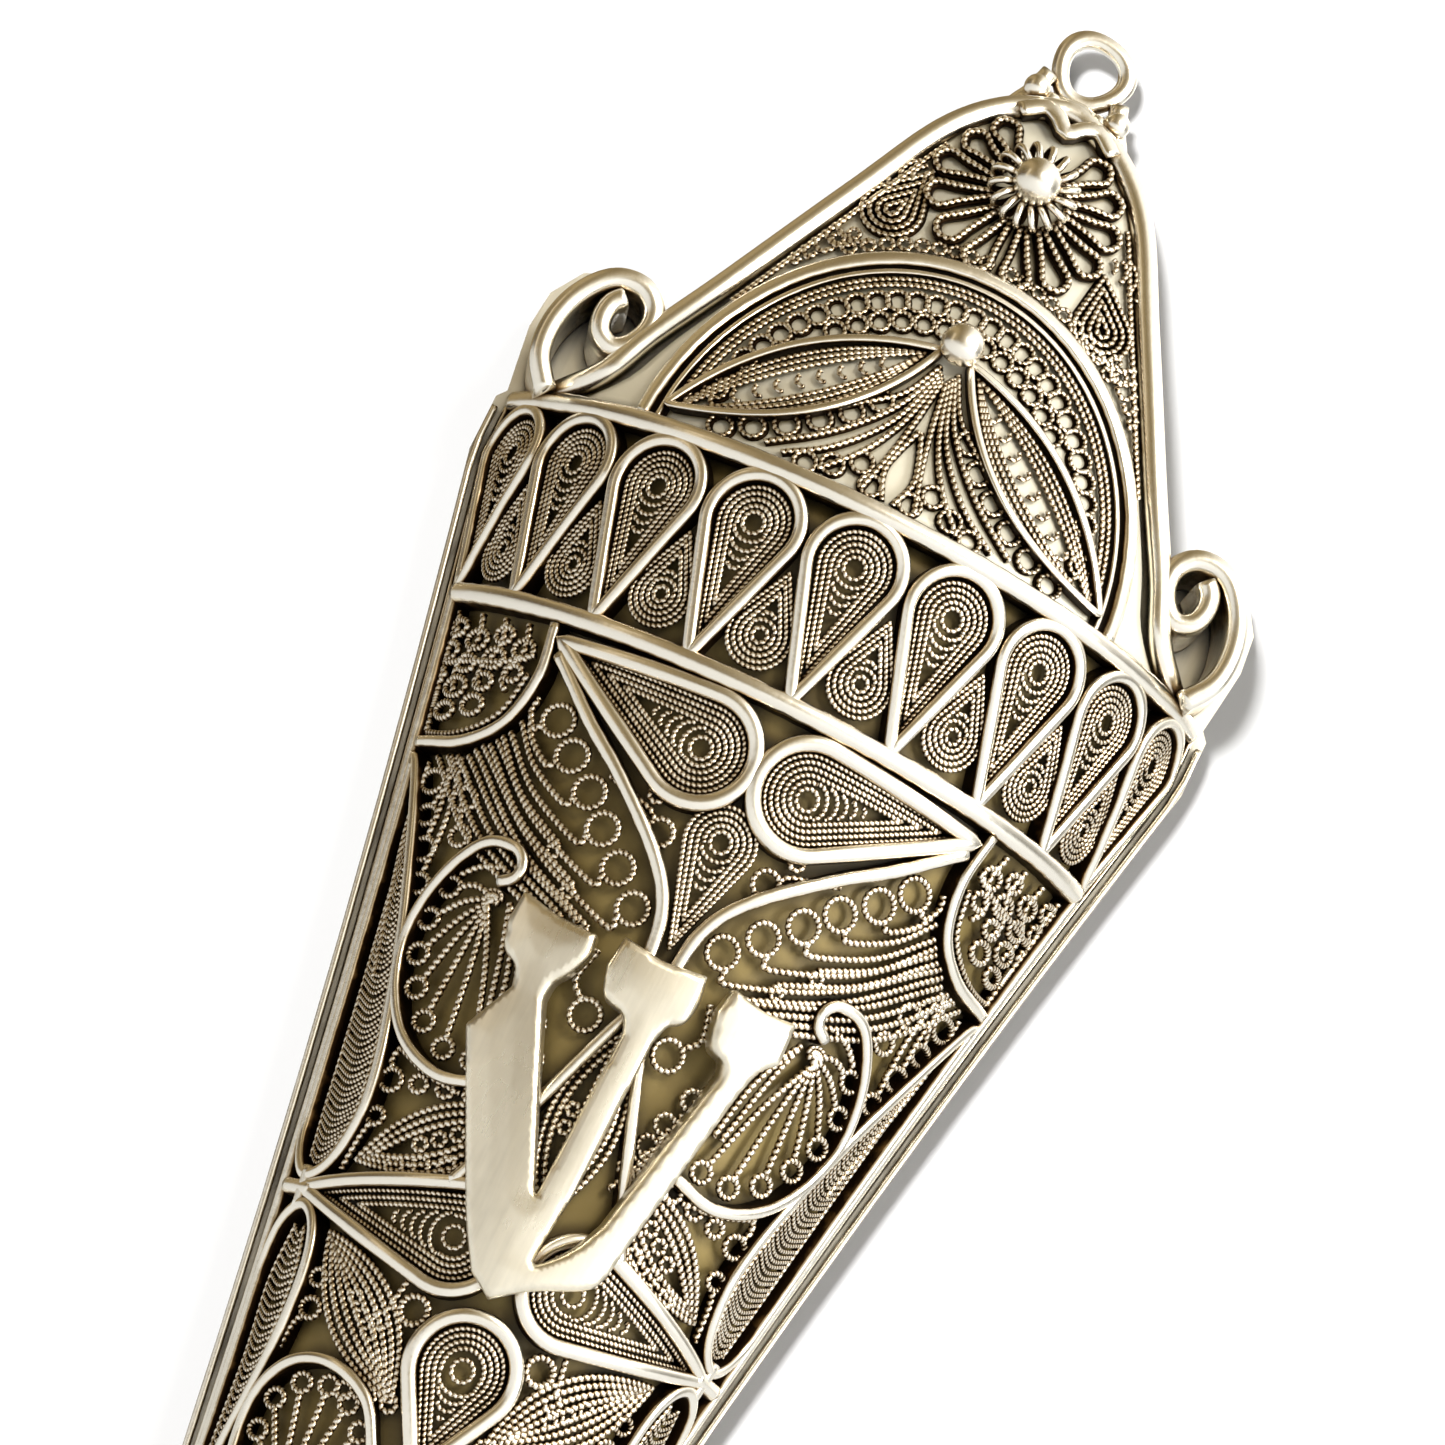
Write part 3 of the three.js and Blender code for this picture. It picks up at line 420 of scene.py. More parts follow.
def silver(name, shade_and_tarnish_level, rough, hollow):
    """Polished silver whose hollows keep their dark patina, also painted darker where the AO finds
    a hollow and down the sides of wires: patina and painted shade.
    """
    made = Nodes(name, Metallic=1.0)
    polish = made.add("ShaderNodeAttribute", attribute_name="polish").outputs["Fac"]
    open_sky = made.shade(hollow)
    patchy = made.sums("MULTIPLY", made.sums("SUBTRACT", made.noise(0.9 * PER_MM), 0.5), 0.5)
    level = made.sums("ADD", made.sums("MULTIPLY", polish, open_sky), patchy)
    colours = ((0.0, TARNISH_AND_SHADE), (0.1, BROWN), (0.24, TAN), (0.5, SILVER))
    stops = [(shade_and_tarnish_level + place, colour) for place, colour in colours]
    made.drive("Base Color", made.ramp(level, *stops))
    made.drive("Roughness", made.ramp(level, (shade_and_tarnish_level, 0.55), (shade_and_tarnish_level + 0.35, rough)))
    made.bump(made.noise(2.2 * PER_MM, 4.0), 0.02, 0.5)
    return made.material


def satin(name, colour, rough):
    """Hand-finished sheet silver: fine scratches one way, a grey bloom in patches, and painted
    shade darkening it in corners and hollows.
    """
    made = Nodes(name, Metallic=1.0)
    scratches = made.noise(3.0 * PER_MM, 4.0, (1.0, 1.0, 0.05))
    bloom = made.noise(0.25 * PER_MM, 5.0)
    darker = tuple(0.8 * c for c in colour)
    patchy = made.sums("MULTIPLY", bloom, 0.7)
    mixed = made.sums("ADD", patchy, made.sums("MULTIPLY", scratches, 0.3))
    # the AO paints shade into corners and hollows
    level = made.sums("MULTIPLY", mixed, made.shade(0.6))
    stops = ((0.1, TARNISH_AND_SHADE), (0.3, darker), (0.55, colour))
    made.drive("Base Color", made.ramp(level, *stops))
    made.drive("Roughness", made.ramp(mixed, (0.3, rough + 0.12), (0.7, rough)))
    made.bump(scratches, 0.012, 0.6)
    return made.material


def backing(name, dark, pale, rough, hollow=1.5, shift=0.0):
    """Oxidised sheet behind the openwork, its colour painted darkest near the wires: oxide, and
    the wires' painted shadow.
    """
    made = Nodes(name, Metallic=0.3)
    # the AO paints the wires' shadow into the sheet's colour
    open_sky = made.shade(hollow, 8)
    patchy = made.sums("MULTIPLY", made.noise(0.35 * PER_MM, 4.0), 0.4)
    level = made.sums("ADD", made.sums("MULTIPLY", open_sky, 0.75), patchy)
    darkest = tuple(0.1 * c for c in dark)
    stops = ((0.3 - shift, darkest), (0.66 - shift, dark), (0.92 - shift, pale))
    made.drive("Base Color", made.ramp(level, *stops))
    made.drive("Roughness", made.ramp(patchy, (0.1, rough), (0.3, rough + 0.15)))
    made.bump(made.noise(1.2 * PER_MM, 5.0), 0.03, 0.6)
    return made.material


def parchment_material():
    made = Nodes("parchment_skin", Roughness=0.8)
    grain = made.noise(0.4 * PER_MM, 6.0, (1.0, 1.0, 0.5))
    stops = ((0.3, (0.62, 0.50, 0.31)), (0.55, (0.78, 0.68, 0.48)), (0.8, (0.85, 0.78, 0.60)))
    made.drive("Base Color", made.ramp(grain, *stops))
    made.bump(made.noise(2.0 * PER_MM, 5.0), 0.03, 0.7)
    return made.material


def plain_material(name, colour, rough):
    made = Nodes(name, Roughness=rough)
    made.shader.inputs["Base Color"].default_value = (*colour, 1)
    return made.material


BRIGHT = silver("bright_silver", 0.12, 0.24, 0.8)
FILIGREE = silver("filigree_silver", 0.24, 0.32, 0.5)
SATIN = satin("satin_silver", (0.93, 0.89, 0.77), 0.28)
BURNISHED = satin("burnished_silver", (0.95, 0.88, 0.71), 0.24)
# the body's sheet is painted dark olive, oxide and painted shade under the openwork; the crown's
# sheet is painted paler, as lit more
OLIVE = backing("oxidised_and_shaded_backing", (0.13, 0.09, 0.024), (0.27, 0.20, 0.065), 0.5, 0.9)
GREY_BEIGE = backing("crown_backing", (0.38, 0.31, 0.18), (0.80, 0.76, 0.62), 0.45, 0.35, 0.14)
PARCHMENT = parchment_material()

for node in ("back_plate", "cover_guide", "sliding_cover", "top_end_plate", "bottom_end_plate"):
    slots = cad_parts[node].data.materials
    slots.clear()
    slots.append(SATIN)

SIDES = {"left": 1, "right": -1}


# ---- backing sheets ----
def curved_sheet(name, face, heights, edge_at, lining, material, slot, node):
    """A smooth sheet just under the openwork."""
    piece = Piece()
    across = np.linspace(-1, 1, 64)
    z = heights[:, None]
    edge = edge_at(heights)[:, None]
    front = face(edge * across, z + 0 * across, lining)
    back = face(edge * across, z + 0 * across, lining - SHEET)
    rings = np.concatenate([front, back[:, ::-1]], 1)
    piece.skin(rings[::-1], 0.5)
    return piece.make(name, material, slot, node)


def body_shell_edge(z):
    return body_edge(z) - SHELL_INSET


shell_z = np.linspace(low("body_shell")[2], high("body_shell")[2], 60)
shell = ("body_backing", body_face, shell_z, body_shell_edge, LINING)
curved_sheet(*shell, OLIVE, "backing_sheet", "body_shell")

# Half of the crown's ogee outline, from its apex down to the rail.
CROWN_SIDE = [
    (0.4, CROWN_APEX_Z), (3.2, -4.4), (5.7, -7.2), (8.3, -12.7), (11.9, -20.2), (14.2, -24.6),
    (15.4, -27.3), (16.9, -28.9), (17.9, -29.6),
]
crown_side = spline(CROWN_SIDE)


def crown_half_width(z):
    return np.interp(z, crown_side[::-1, 1], crown_side[::-1, 0])


def crown_shell_edge(z):
    inside = np.maximum(crown_half_width(z) - 0.5, 0.3)
    return CROWN_RADIUS * np.arcsin(inside / CROWN_RADIUS)


crown_z = np.linspace(low("crown_shell")[2], CROWN_APEX_Z - 0.9, 40)
shell = ("crown_backing", crown_face, crown_z, crown_shell_edge, CROWN_LINING)
curved_sheet(*shell, GREY_BEIGE, "crown_sheet", "crown_shell")


# ---- rails and the edge of the body ----
def plain_wire(name, nodes, ground, line, closed=False, **options):
    """One plain wire, as a piece that stands for the nodes."""
    piece = Piece(ground)
    piece.wire(line, closed, **options)
    piece.bright(name, *nodes)


def rail(name, z, inset):
    edge = body_edge(np.array(z)) - inset
    line = [(-edge, z), (edge, z)]
    plain_wire(name, [f"band_{name}"], UNROLLED, line, width=RAIL, top=0.12)


rail("top_rail", TOP_RAIL_Z, 0.5)
rail("bottom_rail", BOTTOM_RAIL_Z, 1.2)


def edge_line(inset, top, foot, side):
    heights = np.linspace(top, foot, 40)
    return np.stack([side * (body_edge(heights) - inset), heights], 1)


def body_edges():
    left, right = (edge_line(EDGE_INSET, BOTTOM_RAIL_Z, FOOT_Z + 1.3, side) for side in (-1, 1))
    line = np.vstack([left, right[::-1]])
    plain_wire("edge_wire_piece", ["edge_wire"], UNROLLED, line, width=0.8, top=0.05)
    for word, side in SIDES.items():
        line = edge_line(0.15, TOP_RAIL_Z - 0.3, FOOT_Z + 0.9, -side)
        plain_wire(f"{word}_side_strip", [], UNROLLED, line, width=0.4, top=-0.1)
        heights = np.linspace(TOP_RAIL_Z - 0.6, FOOT_Z + 0.6, 40)
        line = np.stack([-side * (half_width(heights) + 0.3), heights], 1)
        plain_wire(f"{word}_lip_wire", [], PLATE, line, width=0.34, top=0.42, foot=-0.75)


body_edges()


# ---- fillings of twisted wire ----
def ring(piece, centre, radius, width=0.32, seam=False):
    piece.twist(circle(centre, radius), closed=True, width=width, pitch=0.3)
    # a seam is a dark wire under the ring: painted shade round it
    if seam:
        painted_shade_seam(piece, circle(centre, radius), width + 0.09, True)


def painted_shade_seam(piece, line, width, closed=False, top=-0.72):
    """A dark unpolished wire along the foot of a wire: painted shade that outlines it, with some
    oxide.
    """
    piece.wire(line, closed, width, top, step=0.2, shine=(0.0, 0.0))


def ring_row(piece, count, start, step, radius, width=0.32):
    for k in range(count):
        ring(piece, (start[0] + step[0] * k, start[1] + step[1] * k), radius, width)


def looped(piece, points, centre, radius):
    """A twisted wire that runs through the points to a ring about a centre."""
    ring(piece, centre, radius, 0.36)
    points, centre = array(points), np.array(centre, float)
    way = points[-1] - centre
    touch = centre + way / np.hypot(*way) * radius
    piece.strand(*points, touch)


def drop_filling(piece, centre, radius, tip, rows=3, first=0.6, arc_gap=0.6):
    """Rows of twisted wire inside a drop, arcs up its middle and a ring in its round end.

    first is the inset of the outermost row.
    """
    centre, tip = np.array(centre, float), np.array(tip, float)
    way = tip - centre
    reach = np.hypot(*way)
    way /= reach
    aside = sideways(way)
    for row in range(rows):
        share = (radius - first - row * FINE_ROW) / radius
        end = centre + way * reach * min(share + 0.12, 1)
        outline = teardrop(centre, radius * share, end)
        piece.twist(outline, closed=True, width=FINE, pitch=FINE_PITCH)
    inner = radius - first - rows * FINE_ROW
    away = math.atan2(-way[1], -way[0])
    piece.twist(circle(centre, inner, away - 2.0, 4.0, 16), width=FINE, pitch=FINE_PITCH)
    if inner > 0.5:
        ring(piece, centre, min(inner - 0.3, 0.56), 0.28)
    far = reach * (inner + 0.1) / radius
    at = inner * 0.55
    while at < far:
        half = min((far * 1.12 - at) * radius / reach, inner)
        if half < 0.16:
            break
        turn = np.linspace(-1.45, 1.45, 9)[:, None]
        along = way * (at + 0.75 * half * (np.cos(turn) - 0.2))
        line = centre + along + aside * half * np.sin(turn)
        piece.twist(line, width=0.28, pitch=FINE_PITCH)
        at += arc_gap


def leaf_filling(piece, start, end, right, left, rows=3, first=0.45, rings=3):
    """Rows of twisted wire inside a leaf, and a chain of rings down its middle."""
    start, end = np.array(start, float), np.array(end, float)
    length = np.hypot(*(end - start))
    way = (end - start) / length
    aside = sideways(way)
    inset = first
    for _ in range(rows):
        a, b = right - inset, left - inset
        if a + b < 0.35:
            break
        tips = inset * length / (2 * (right + left)) * 0.7
        outline = leaf(start + way * tips, end - way * tips, a, b)
        piece.twist(outline, closed=True, width=0.42)
        inset += ROW
    room = (right + left) / 2 - inset + 0.1
    middle_line = (start + end) / 2 + aside * (right - left) / 2
    for k in range(rings):
        at = middle_line + way * 0.95 * (k - (rings - 1) / 2)
        ring(piece, at, max(0.3, min(room, 0.42)), 0.36)


def ribs(piece, one, other, count, bulge):
    """Fine twisted wires side by side, each bowed from one line to the other."""
    one, other = evenly(one, 0.1), evenly(other, 0.1)
    for k in range(count):
        t = (k + 0.5) / count
        a = one[int(t * (len(one) - 1))]
        b = other[int(t * (len(other) - 1))]
        if np.hypot(*(a - b)) > 0.3:
            ahead = one[min(int(t * (len(one) - 1)) + 3, len(one) - 1)] - a
            ahead /= max(np.hypot(*ahead), 1e-6)
            bowed = spline([a, (a + b) / 2 + ahead * bulge, b], fine=6)
            piece.twist(bowed, width=0.26, pitch=0.26)


# ---- the band of drops ----
BAND_DROPS = 9
DROP_RADIUS = 2.42
DROP_ROUND_Z = -32.8
DROP_TIP_Z = -40.1
drop_pitch = math.radians(15) * body_arc(np.array(SHOULDER_Z))[0]


def band():
    filling = Piece(UNROLLED)
    for i in range(BAND_DROPS):
        u = drop_pitch * (i - (BAND_DROPS - 1) / 2)
        outline = teardrop((u, DROP_ROUND_Z), DROP_RADIUS, (u, DROP_TIP_Z))
        name, node = f"band_drop_wire_{i + 1}", f"band_drop_{i + 1}"
        plain_wire(name, [node], UNROLLED, outline, closed=True, width=0.7)
        drop_filling(filling, (u, DROP_ROUND_Z), DROP_RADIUS, (u, DROP_TIP_Z))
    filling.filigree("band_drop_filling", "band_filigree")
    between = Piece(UNROLLED)
    for i in range(BAND_DROPS + 1):
        u = drop_pitch * (i - BAND_DROPS / 2)
        tip, low_end = (u, -34.4), (u, -37.75)
        if 0 < i < BAND_DROPS:
            drop_filling(between, low_end, 1.8, tip, first=0.15)
        else:
            inward = 1 if i == 0 else -1
            line = [(u + 1.6 * inward, -38.9), (u + 0.9 * inward, -36.5), (u + inward, -34.8)]
            between.twist(line)
    between.filigree("band_gap_filling", "band_filigree")


band()


# ---- the body's plain wires and fillings, drawn on the left and mirrored ----
BROW = ((-2.95, -43.95), 2.75, (-11.5, -41.6))
CORNER_ARC = [(-12.15, -40.9), (-11.75, -43.6), (-12.3, -46.2), (-13.9, -47.7), (-16, -48.1)]
LONG_CURVE = [
    (-11.3, -42.3), (-8.4, -44.9), (-5.9, -46.8), (-2.6, -49.7), (-1.1, -52), (-0.65, -54.8),
]
SIDE_SCROLL = [
    (-9, -53.75), (-8.35, -53.3), (-8.3, -52.5), (-9, -51.9), (-10.5, -52.2), (-11.7, -54.3),
    (-12.15, -57.2), (-11.5, -60), (-9.9, -62.4), (-7.6, -63.5), (-5.2, -63.05),
]
EDGE_DROP = [
    (-15.9, -48.8), (-14.75, -55), (-13.65, -61), (-12.75, -66.4), (-12.2, -69), (-11.4, -70.2),
    (-10.55, -69.5), (-10.15, -67.6), (-10.2, -65.3), (-11.0, -61.8), (-12.9, -56),
]
WAIST = ((-3.3, -70.25), 2.6, (-11.1, -70.85))
LOWER_EDGE_DROP = [
    (-9.45, -88), (-10.6, -80), (-11.3, -75.4), (-11.4, -72.8), (-10.8, -71.6), (-9.95, -72.2),
    (-9.3, -74.1), (-9.0, -77.5), (-9.1, -82.5),
]
LOWER_SCROLL = [
    (-1.9, -81.7), (-3.6, -79), (-6, -78.1), (-7.9, -78.9), (-8.75, -81.2), (-8.3, -84.6),
    (-6.9, -87.2), (-5.2, -88), (-4.4, -87), (-5.1, -86.2),
]
INNER_CURVE = [(-0.15, -56.5), (-1.2, -59.2), (-2.3, -62.2), (-3.4, -65.2), (-4.6, -68)]
LOWER_CURVE = [
    (-0.3, -80.6), (-0.5, -83), (-1, -86.3), (-2.6, -89.6), (-4.6, -92.4), (-6.2, -95.2),
    (-7, -98),
]
CENTRE_DROP = ((0, -75.8), 2.65, (0, -81.3))
THROAT = ((0, -47.7), 1.9, (0, -53.4))
FAN_RINGS = [
    (-10, -45.3), (-8.6, -46.7), (-7, -48.05), (-5.6, -49.45), (-4.05, -50.9), (-2.5, -52.4),
]


def plain_wires(word, side):
    def lay(name, points, closed=False, **options):
        nodes = [] if name == "inner_curve" else [f"{word}_{name}"]
        plain_wire(f"{word}_{name}_wire", nodes, BODY, mirrored(points, side), closed, **options)

    lay("brow_drop", teardrop(*BROW), True, width=0.85)
    lay("waist_leaf", teardrop(*WAIST), True)
    lay("edge_drop", spline(EDGE_DROP, True), True, width=0.62)
    lay("lower_edge_drop", spline(LOWER_EDGE_DROP, True), True, width=0.62)
    lay("long_curve", spline(LONG_CURVE), width=0.7)
    lay("corner_arc", spline(CORNER_ARC), width=0.6)
    lay("side_scroll", spline(SIDE_SCROLL), width=0.6)
    lay("lower_scroll", spline(LOWER_SCROLL), width=0.6)
    lay("lower_curve", spline(LOWER_CURVE), width=0.62)
    lay("inner_curve", spline(INNER_CURVE), width=0.62)


def filling(word, side, draw, node):
    """A filling drawn on the left, mirrored onto a side and named as the function drawing it."""
    piece = Piece((body_face, lambda line: unroll_body(line * [side, 1])))
    draw(piece)
    piece.filigree(f"{word}_{draw.__name__}", node)


def brow_filling(piece):
    drop_filling(piece, *BROW, rows=4, first=0.58)


def corner_filling(piece):
    """Rings and short twists packed into the corner under the band."""
    for i, x in enumerate((-17.0, -15.75, -14.5, -13.25)):
        for j in range(5):
            z = -42.0 - 1.25 * j - 0.5 * (i % 2)
            if math.hypot((x + 17.5) / 5.2, (z + 41) / 6.6) < 1.0:
                ring(piece, (x, z), 0.5 if (i + j) % 2 else 0.42, 0.4)
    for k in range(4):
        x = -17.3 + 1.25 * k
        bend = [(x, -41.2), (x + 0.35, -42.6), (x - 0.1, -44), (x + 0.3, -45.6 + 0.3 * k)]
        piece.strand(*bend, width=0.42)
    piece.strand((-17.4, -46.3), (-16.3, -47.4), (-14.6, -47.3), (-13, -45.9), (-12.45, -43.6))
    piece.strand((-17.2, -43.9), (-15.5, -43.6), (-13.9, -43.3), (-12.6, -42.6))


def curve_filling(piece):
    """Twisted wires fan out from the corner arc, and end in rings under the long curve."""
    starts = evenly(spline([(-11.35, -44.2), (-11.7, -46), (-12.5, -47.3), (-14.2, -48.3)]), 0.36)
    for k, centre in enumerate(FAN_RINGS):
        centre = np.array(centre)
        start = starts[min(1 + 2 * k, len(starts) - 1)]
        under = centre + [-1.0, -0.75 - 0.1 * k]
        halfway = (start + under) / 2 + [-0.3, -0.15 * k]
        looped(piece, [start, halfway, under], centre, 0.8)
        if k > 2:
            beside = under + [-0.6, -0.5]
            bend = halfway + [-0.45, -0.35]
            piece.strand(start + [-0.25, -0.3], bend, beside, width=0.42)
            ring(piece, beside + [-0.15, -0.35], 0.3, 0.34)
    for k in range(4):
        start = np.array([-13.4 - 0.5 * k, -48.3 - 0.12 * k])
        end = np.array([-4.6 - 0.85 * k, -54.1 - 0.1 * k])
        bend = (start + end) / 2 + [-0.6, -0.5 - 0.05 * k]
        piece.strand(start, bend, end, width=0.42)
    looped(piece, [(-6.4, -46.9), (-4.9, -47.4), (-3.9, -47.7)], (-2.95, -48.5), 0.68)
    ring(piece, (-3.9, -46.9), 0.35, 0.36)
    edge_rings = [(-14.6, -49.9), (-14.1, -51.6), (-13.5, -53.3), (-12.9, -55), (-12.6, -50.4)]
    for k, centre in enumerate(edge_rings + [(-12, -52.2)]):
        centre = np.array(centre)
        start = np.array([-13.6 - 0.3 * (k % 3), -48.5])
        looped(piece, [start, (start + centre) / 2 + [0.2, 0.2]], centre, 0.5 if k % 2 else 0.58)
    piece.strand((-15.2, -49), (-14.9, -52), (-13.9, -56.2), (-12.9, -60))


def edge_filling(piece):
    """Fine bowed ribs side by side down the drop."""
    outer = spline([(-15, -50.6), (-14.3, -54.6), (-13.2, -60.8), (-12.3, -66.2), (-11.75, -69.3)])
    inner = spline([(-14.9, -50.8), (-13.4, -55.6), (-11.6, -61.4), (-10.7, -65.8), (-10.8, -69)])
    ribs(piece, inner, outer, 58, 0.55)
    piece.twist(inner, width=FINE)
    piece.twist(outer, width=FINE)


def fan(piece, hub, ends, spread, root, bend, radius):
    """Twisted wires from about a hub, each to a ring. root and bend are shares of the way."""
    for k, centre in enumerate(ends):
        centre = np.array(centre)
        way = centre - hub
        aside = sideways(way) / np.hypot(*way)
        start = hub + aside * spread * (k - 3) + way * root
        looped(piece, [start, hub + way * bend[0] + aside * bend[1]], centre, radius)


def side_fan(piece):
    """A fan from the scroll's curl to rings along its inside."""
    hub = np.array([-8.85, -54.1])
    ends = [(-11.3, -54.7), (-11.6, -56.5), (-11.3, -58.3), (-10.6, -59.9), (-9.5, -61.3)]
    ends += [(-8, -62.2), (-6.4, -62.2)]
    fan(piece, hub, ends, 0.22, 0, (0.45, 0.12), 0.5)
    for k in range(3):
        bend = [hub + [0.7, -0.4], (-7.4 + 0.55 * k, -57 - 0.2 * k), (-6.6 + 0.45 * k, -60.4)]
        piece.strand(*bend)
    piece.strand((-9.2, -53), (-10.3, -53.3), (-11.1, -54))


def heart_leaf(piece):
    """The part of the field that shows through the letter and beside it."""
    leaf_filling(piece, (-0.2, -57), (-0.4, -68.6), 0.3, 2.4, rows=4, rings=2, first=0.3)
    looped(piece, [(-3.1, -54.9), (-3.5, -56.6)], (-2.3, -58.0), 0.78)
    looped(piece, [(-5.2, -56), (-4.9, -58.2)], (-4.4, -59.4), 0.5)
    ring_row(piece, 3, (-3.7, -61), (0.35, -1.3), 0.5)
    for k in range(4):
        x, z = 0.35 * k, 0.9 * k
        piece.strand((-4.9 + 0.3 * k, -58.4 - z), (-4.7 + x, -60.4 - z), (-3.6 + x, -62 - k))


def almond_leaf(piece):
    leaf_filling(piece, (-9.5, -68.7), (-2.9, -63.7), 1.75, 1.5, rings=3, first=0.05)
    looped(piece, [(-9.7, -62.3), (-10.1, -63.4)], (-9.7, -64.5), 0.55)
    looped(piece, [(-10.0, -69.4), (-9.9, -67.7)], (-9.6, -66.4), 0.42)
    ring_row(piece, 3, (-8.3, -64.2), (1.35, 0.25), 0.42, 0.38)
    piece.strand((-9.9, -62.9), (-8.2, -63.6), (-6.2, -63.9))
    ring_row(piece, 4, (-7.6, -68.3), (1.2, 0.5), 0.4, 0.38)


def waist_filling(piece):
    drop_filling(piece, *WAIST, first=0.58, arc_gap=0.62)


def lower_edge_filling(piece):
    outer = spline([(-10.9, -72.6), (-10.9, -75.6), (-10.3, -79.5), (-9.8, -85)])
    inner = spline([(-10.4, -72.6), (-9.8, -75), (-9.5, -79), (-9.5, -85)])
    ribs(piece, inner, outer, 34, 0.4)
    piece.twist(outer, width=FINE)
    piece.twist(inner, width=FINE)
    ring_row(piece, 7, (-9.35, -88.3), (0.17, -1.4), 0.55)
    for k in range(2):
        x = 0.5 * k
        piece.strand((-8.4 + x, -87.6), (-8.0 + x, -91), (-7.7 + x, -94.5), (-7.6, -98))


def lower_almond(piece):
    leaf_filling(piece, (-9.1, -72.3), (-2.5, -78.7), 1.6, 1.8, rows=4, rings=3, first=0.1)
    ring(piece, (-3.5, -74.2), 0.7, 0.44)
    looped(piece, [(-4.4, -72.9), (-4.6, -74.1)], (-4.8, -75.3), 0.4)
    looped(piece, [(-8.9, -78.4), (-8.8, -77.2)], (-8.3, -76.1), 0.5)
    ring(piece, (-8.6, -74.6), 0.42)
    ring_row(piece, 3, (-4.9, -79), (1.15, 0.15), 0.4, 0.38)


def lower_fan(piece):
    ends = [(-8, -82.4), (-7.9, -80.7), (-7, -79.5), (-5.7, -79.1), (-4.4, -79.5), (-3.3, -80.5)]
    fan(piece, np.array([-5.3, -86]), ends + [(-2.6, -82)], 0.2, 0.08, (0.5, 0), 0.46)
    ring_row(piece, 6, (-1.9, -84.4), (-0.85, -1.65), 0.5)
    for k in range(5):
        start = (-1.5 - 0.3 * k, -82.5 - 0.3 * k)
        bend = (-2.9 - 0.55 * k, -87.0 - 0.5 * k)
        piece.strand(start, bend, (-6.4 - 0.1 * k, -93.2 - 0.5 * k), width=0.42)


def foot_leaf(piece):
    leaf_filling(piece, (-0.9, -87.5), (-4.9, -98.2), 1.3, 1.5, rings=3, first=0.1)
    looped(piece, [(-6.4, -98), (-5.9, -96.9)], (-5.6, -95.9), 0.5)
    ring_row(piece, 3, (-1.4, -94.4), (-0.7, -1.4), 0.45)


UPPER = (brow_filling, corner_filling, curve_filling, edge_filling, side_fan, heart_leaf)
UPPER += (almond_leaf, waist_filling)
LOWER = (lower_edge_filling, lower_almond, lower_fan, foot_leaf)
for word, side in SIDES.items():
    plain_wires(word, side)
    for draw in UPPER:
        filling(word, side, draw, "upper_body_filigree")
    for draw in LOWER:
        filling(word, side, draw, "lower_body_filigree")


def centre_drops():
    node = "lower_center_drop"
    plain_wire(f"{node}_wire", [node], BODY, teardrop(*CENTRE_DROP), closed=True, width=0.8)
    lower = Piece(BODY)
    drop_filling(lower, *CENTRE_DROP)
    drop_filling(lower, (0, -95.2), 2.0, (0, -86.2), rows=4, first=0.1)
    lower.filigree("center_filling", "lower_body_filigree")
    throat = Piece(BODY)
    drop_filling(throat, *THROAT, first=0.1)
    throat.filigree("throat_drop", "upper_body_filigree")
    nodes = Piece(BODY)
    for side in (-1, 1):
        nodes.wire([(side * 12.2, -70.95), (side * 10.7, -70.85)], width=0.8, top=0.04)
        nodes.wire([(side * 11.3, -69.8), (side * 11.0, -71.9)], width=0.8, top=0.02)
    nodes.bright("waist_solder")


centre_drops()


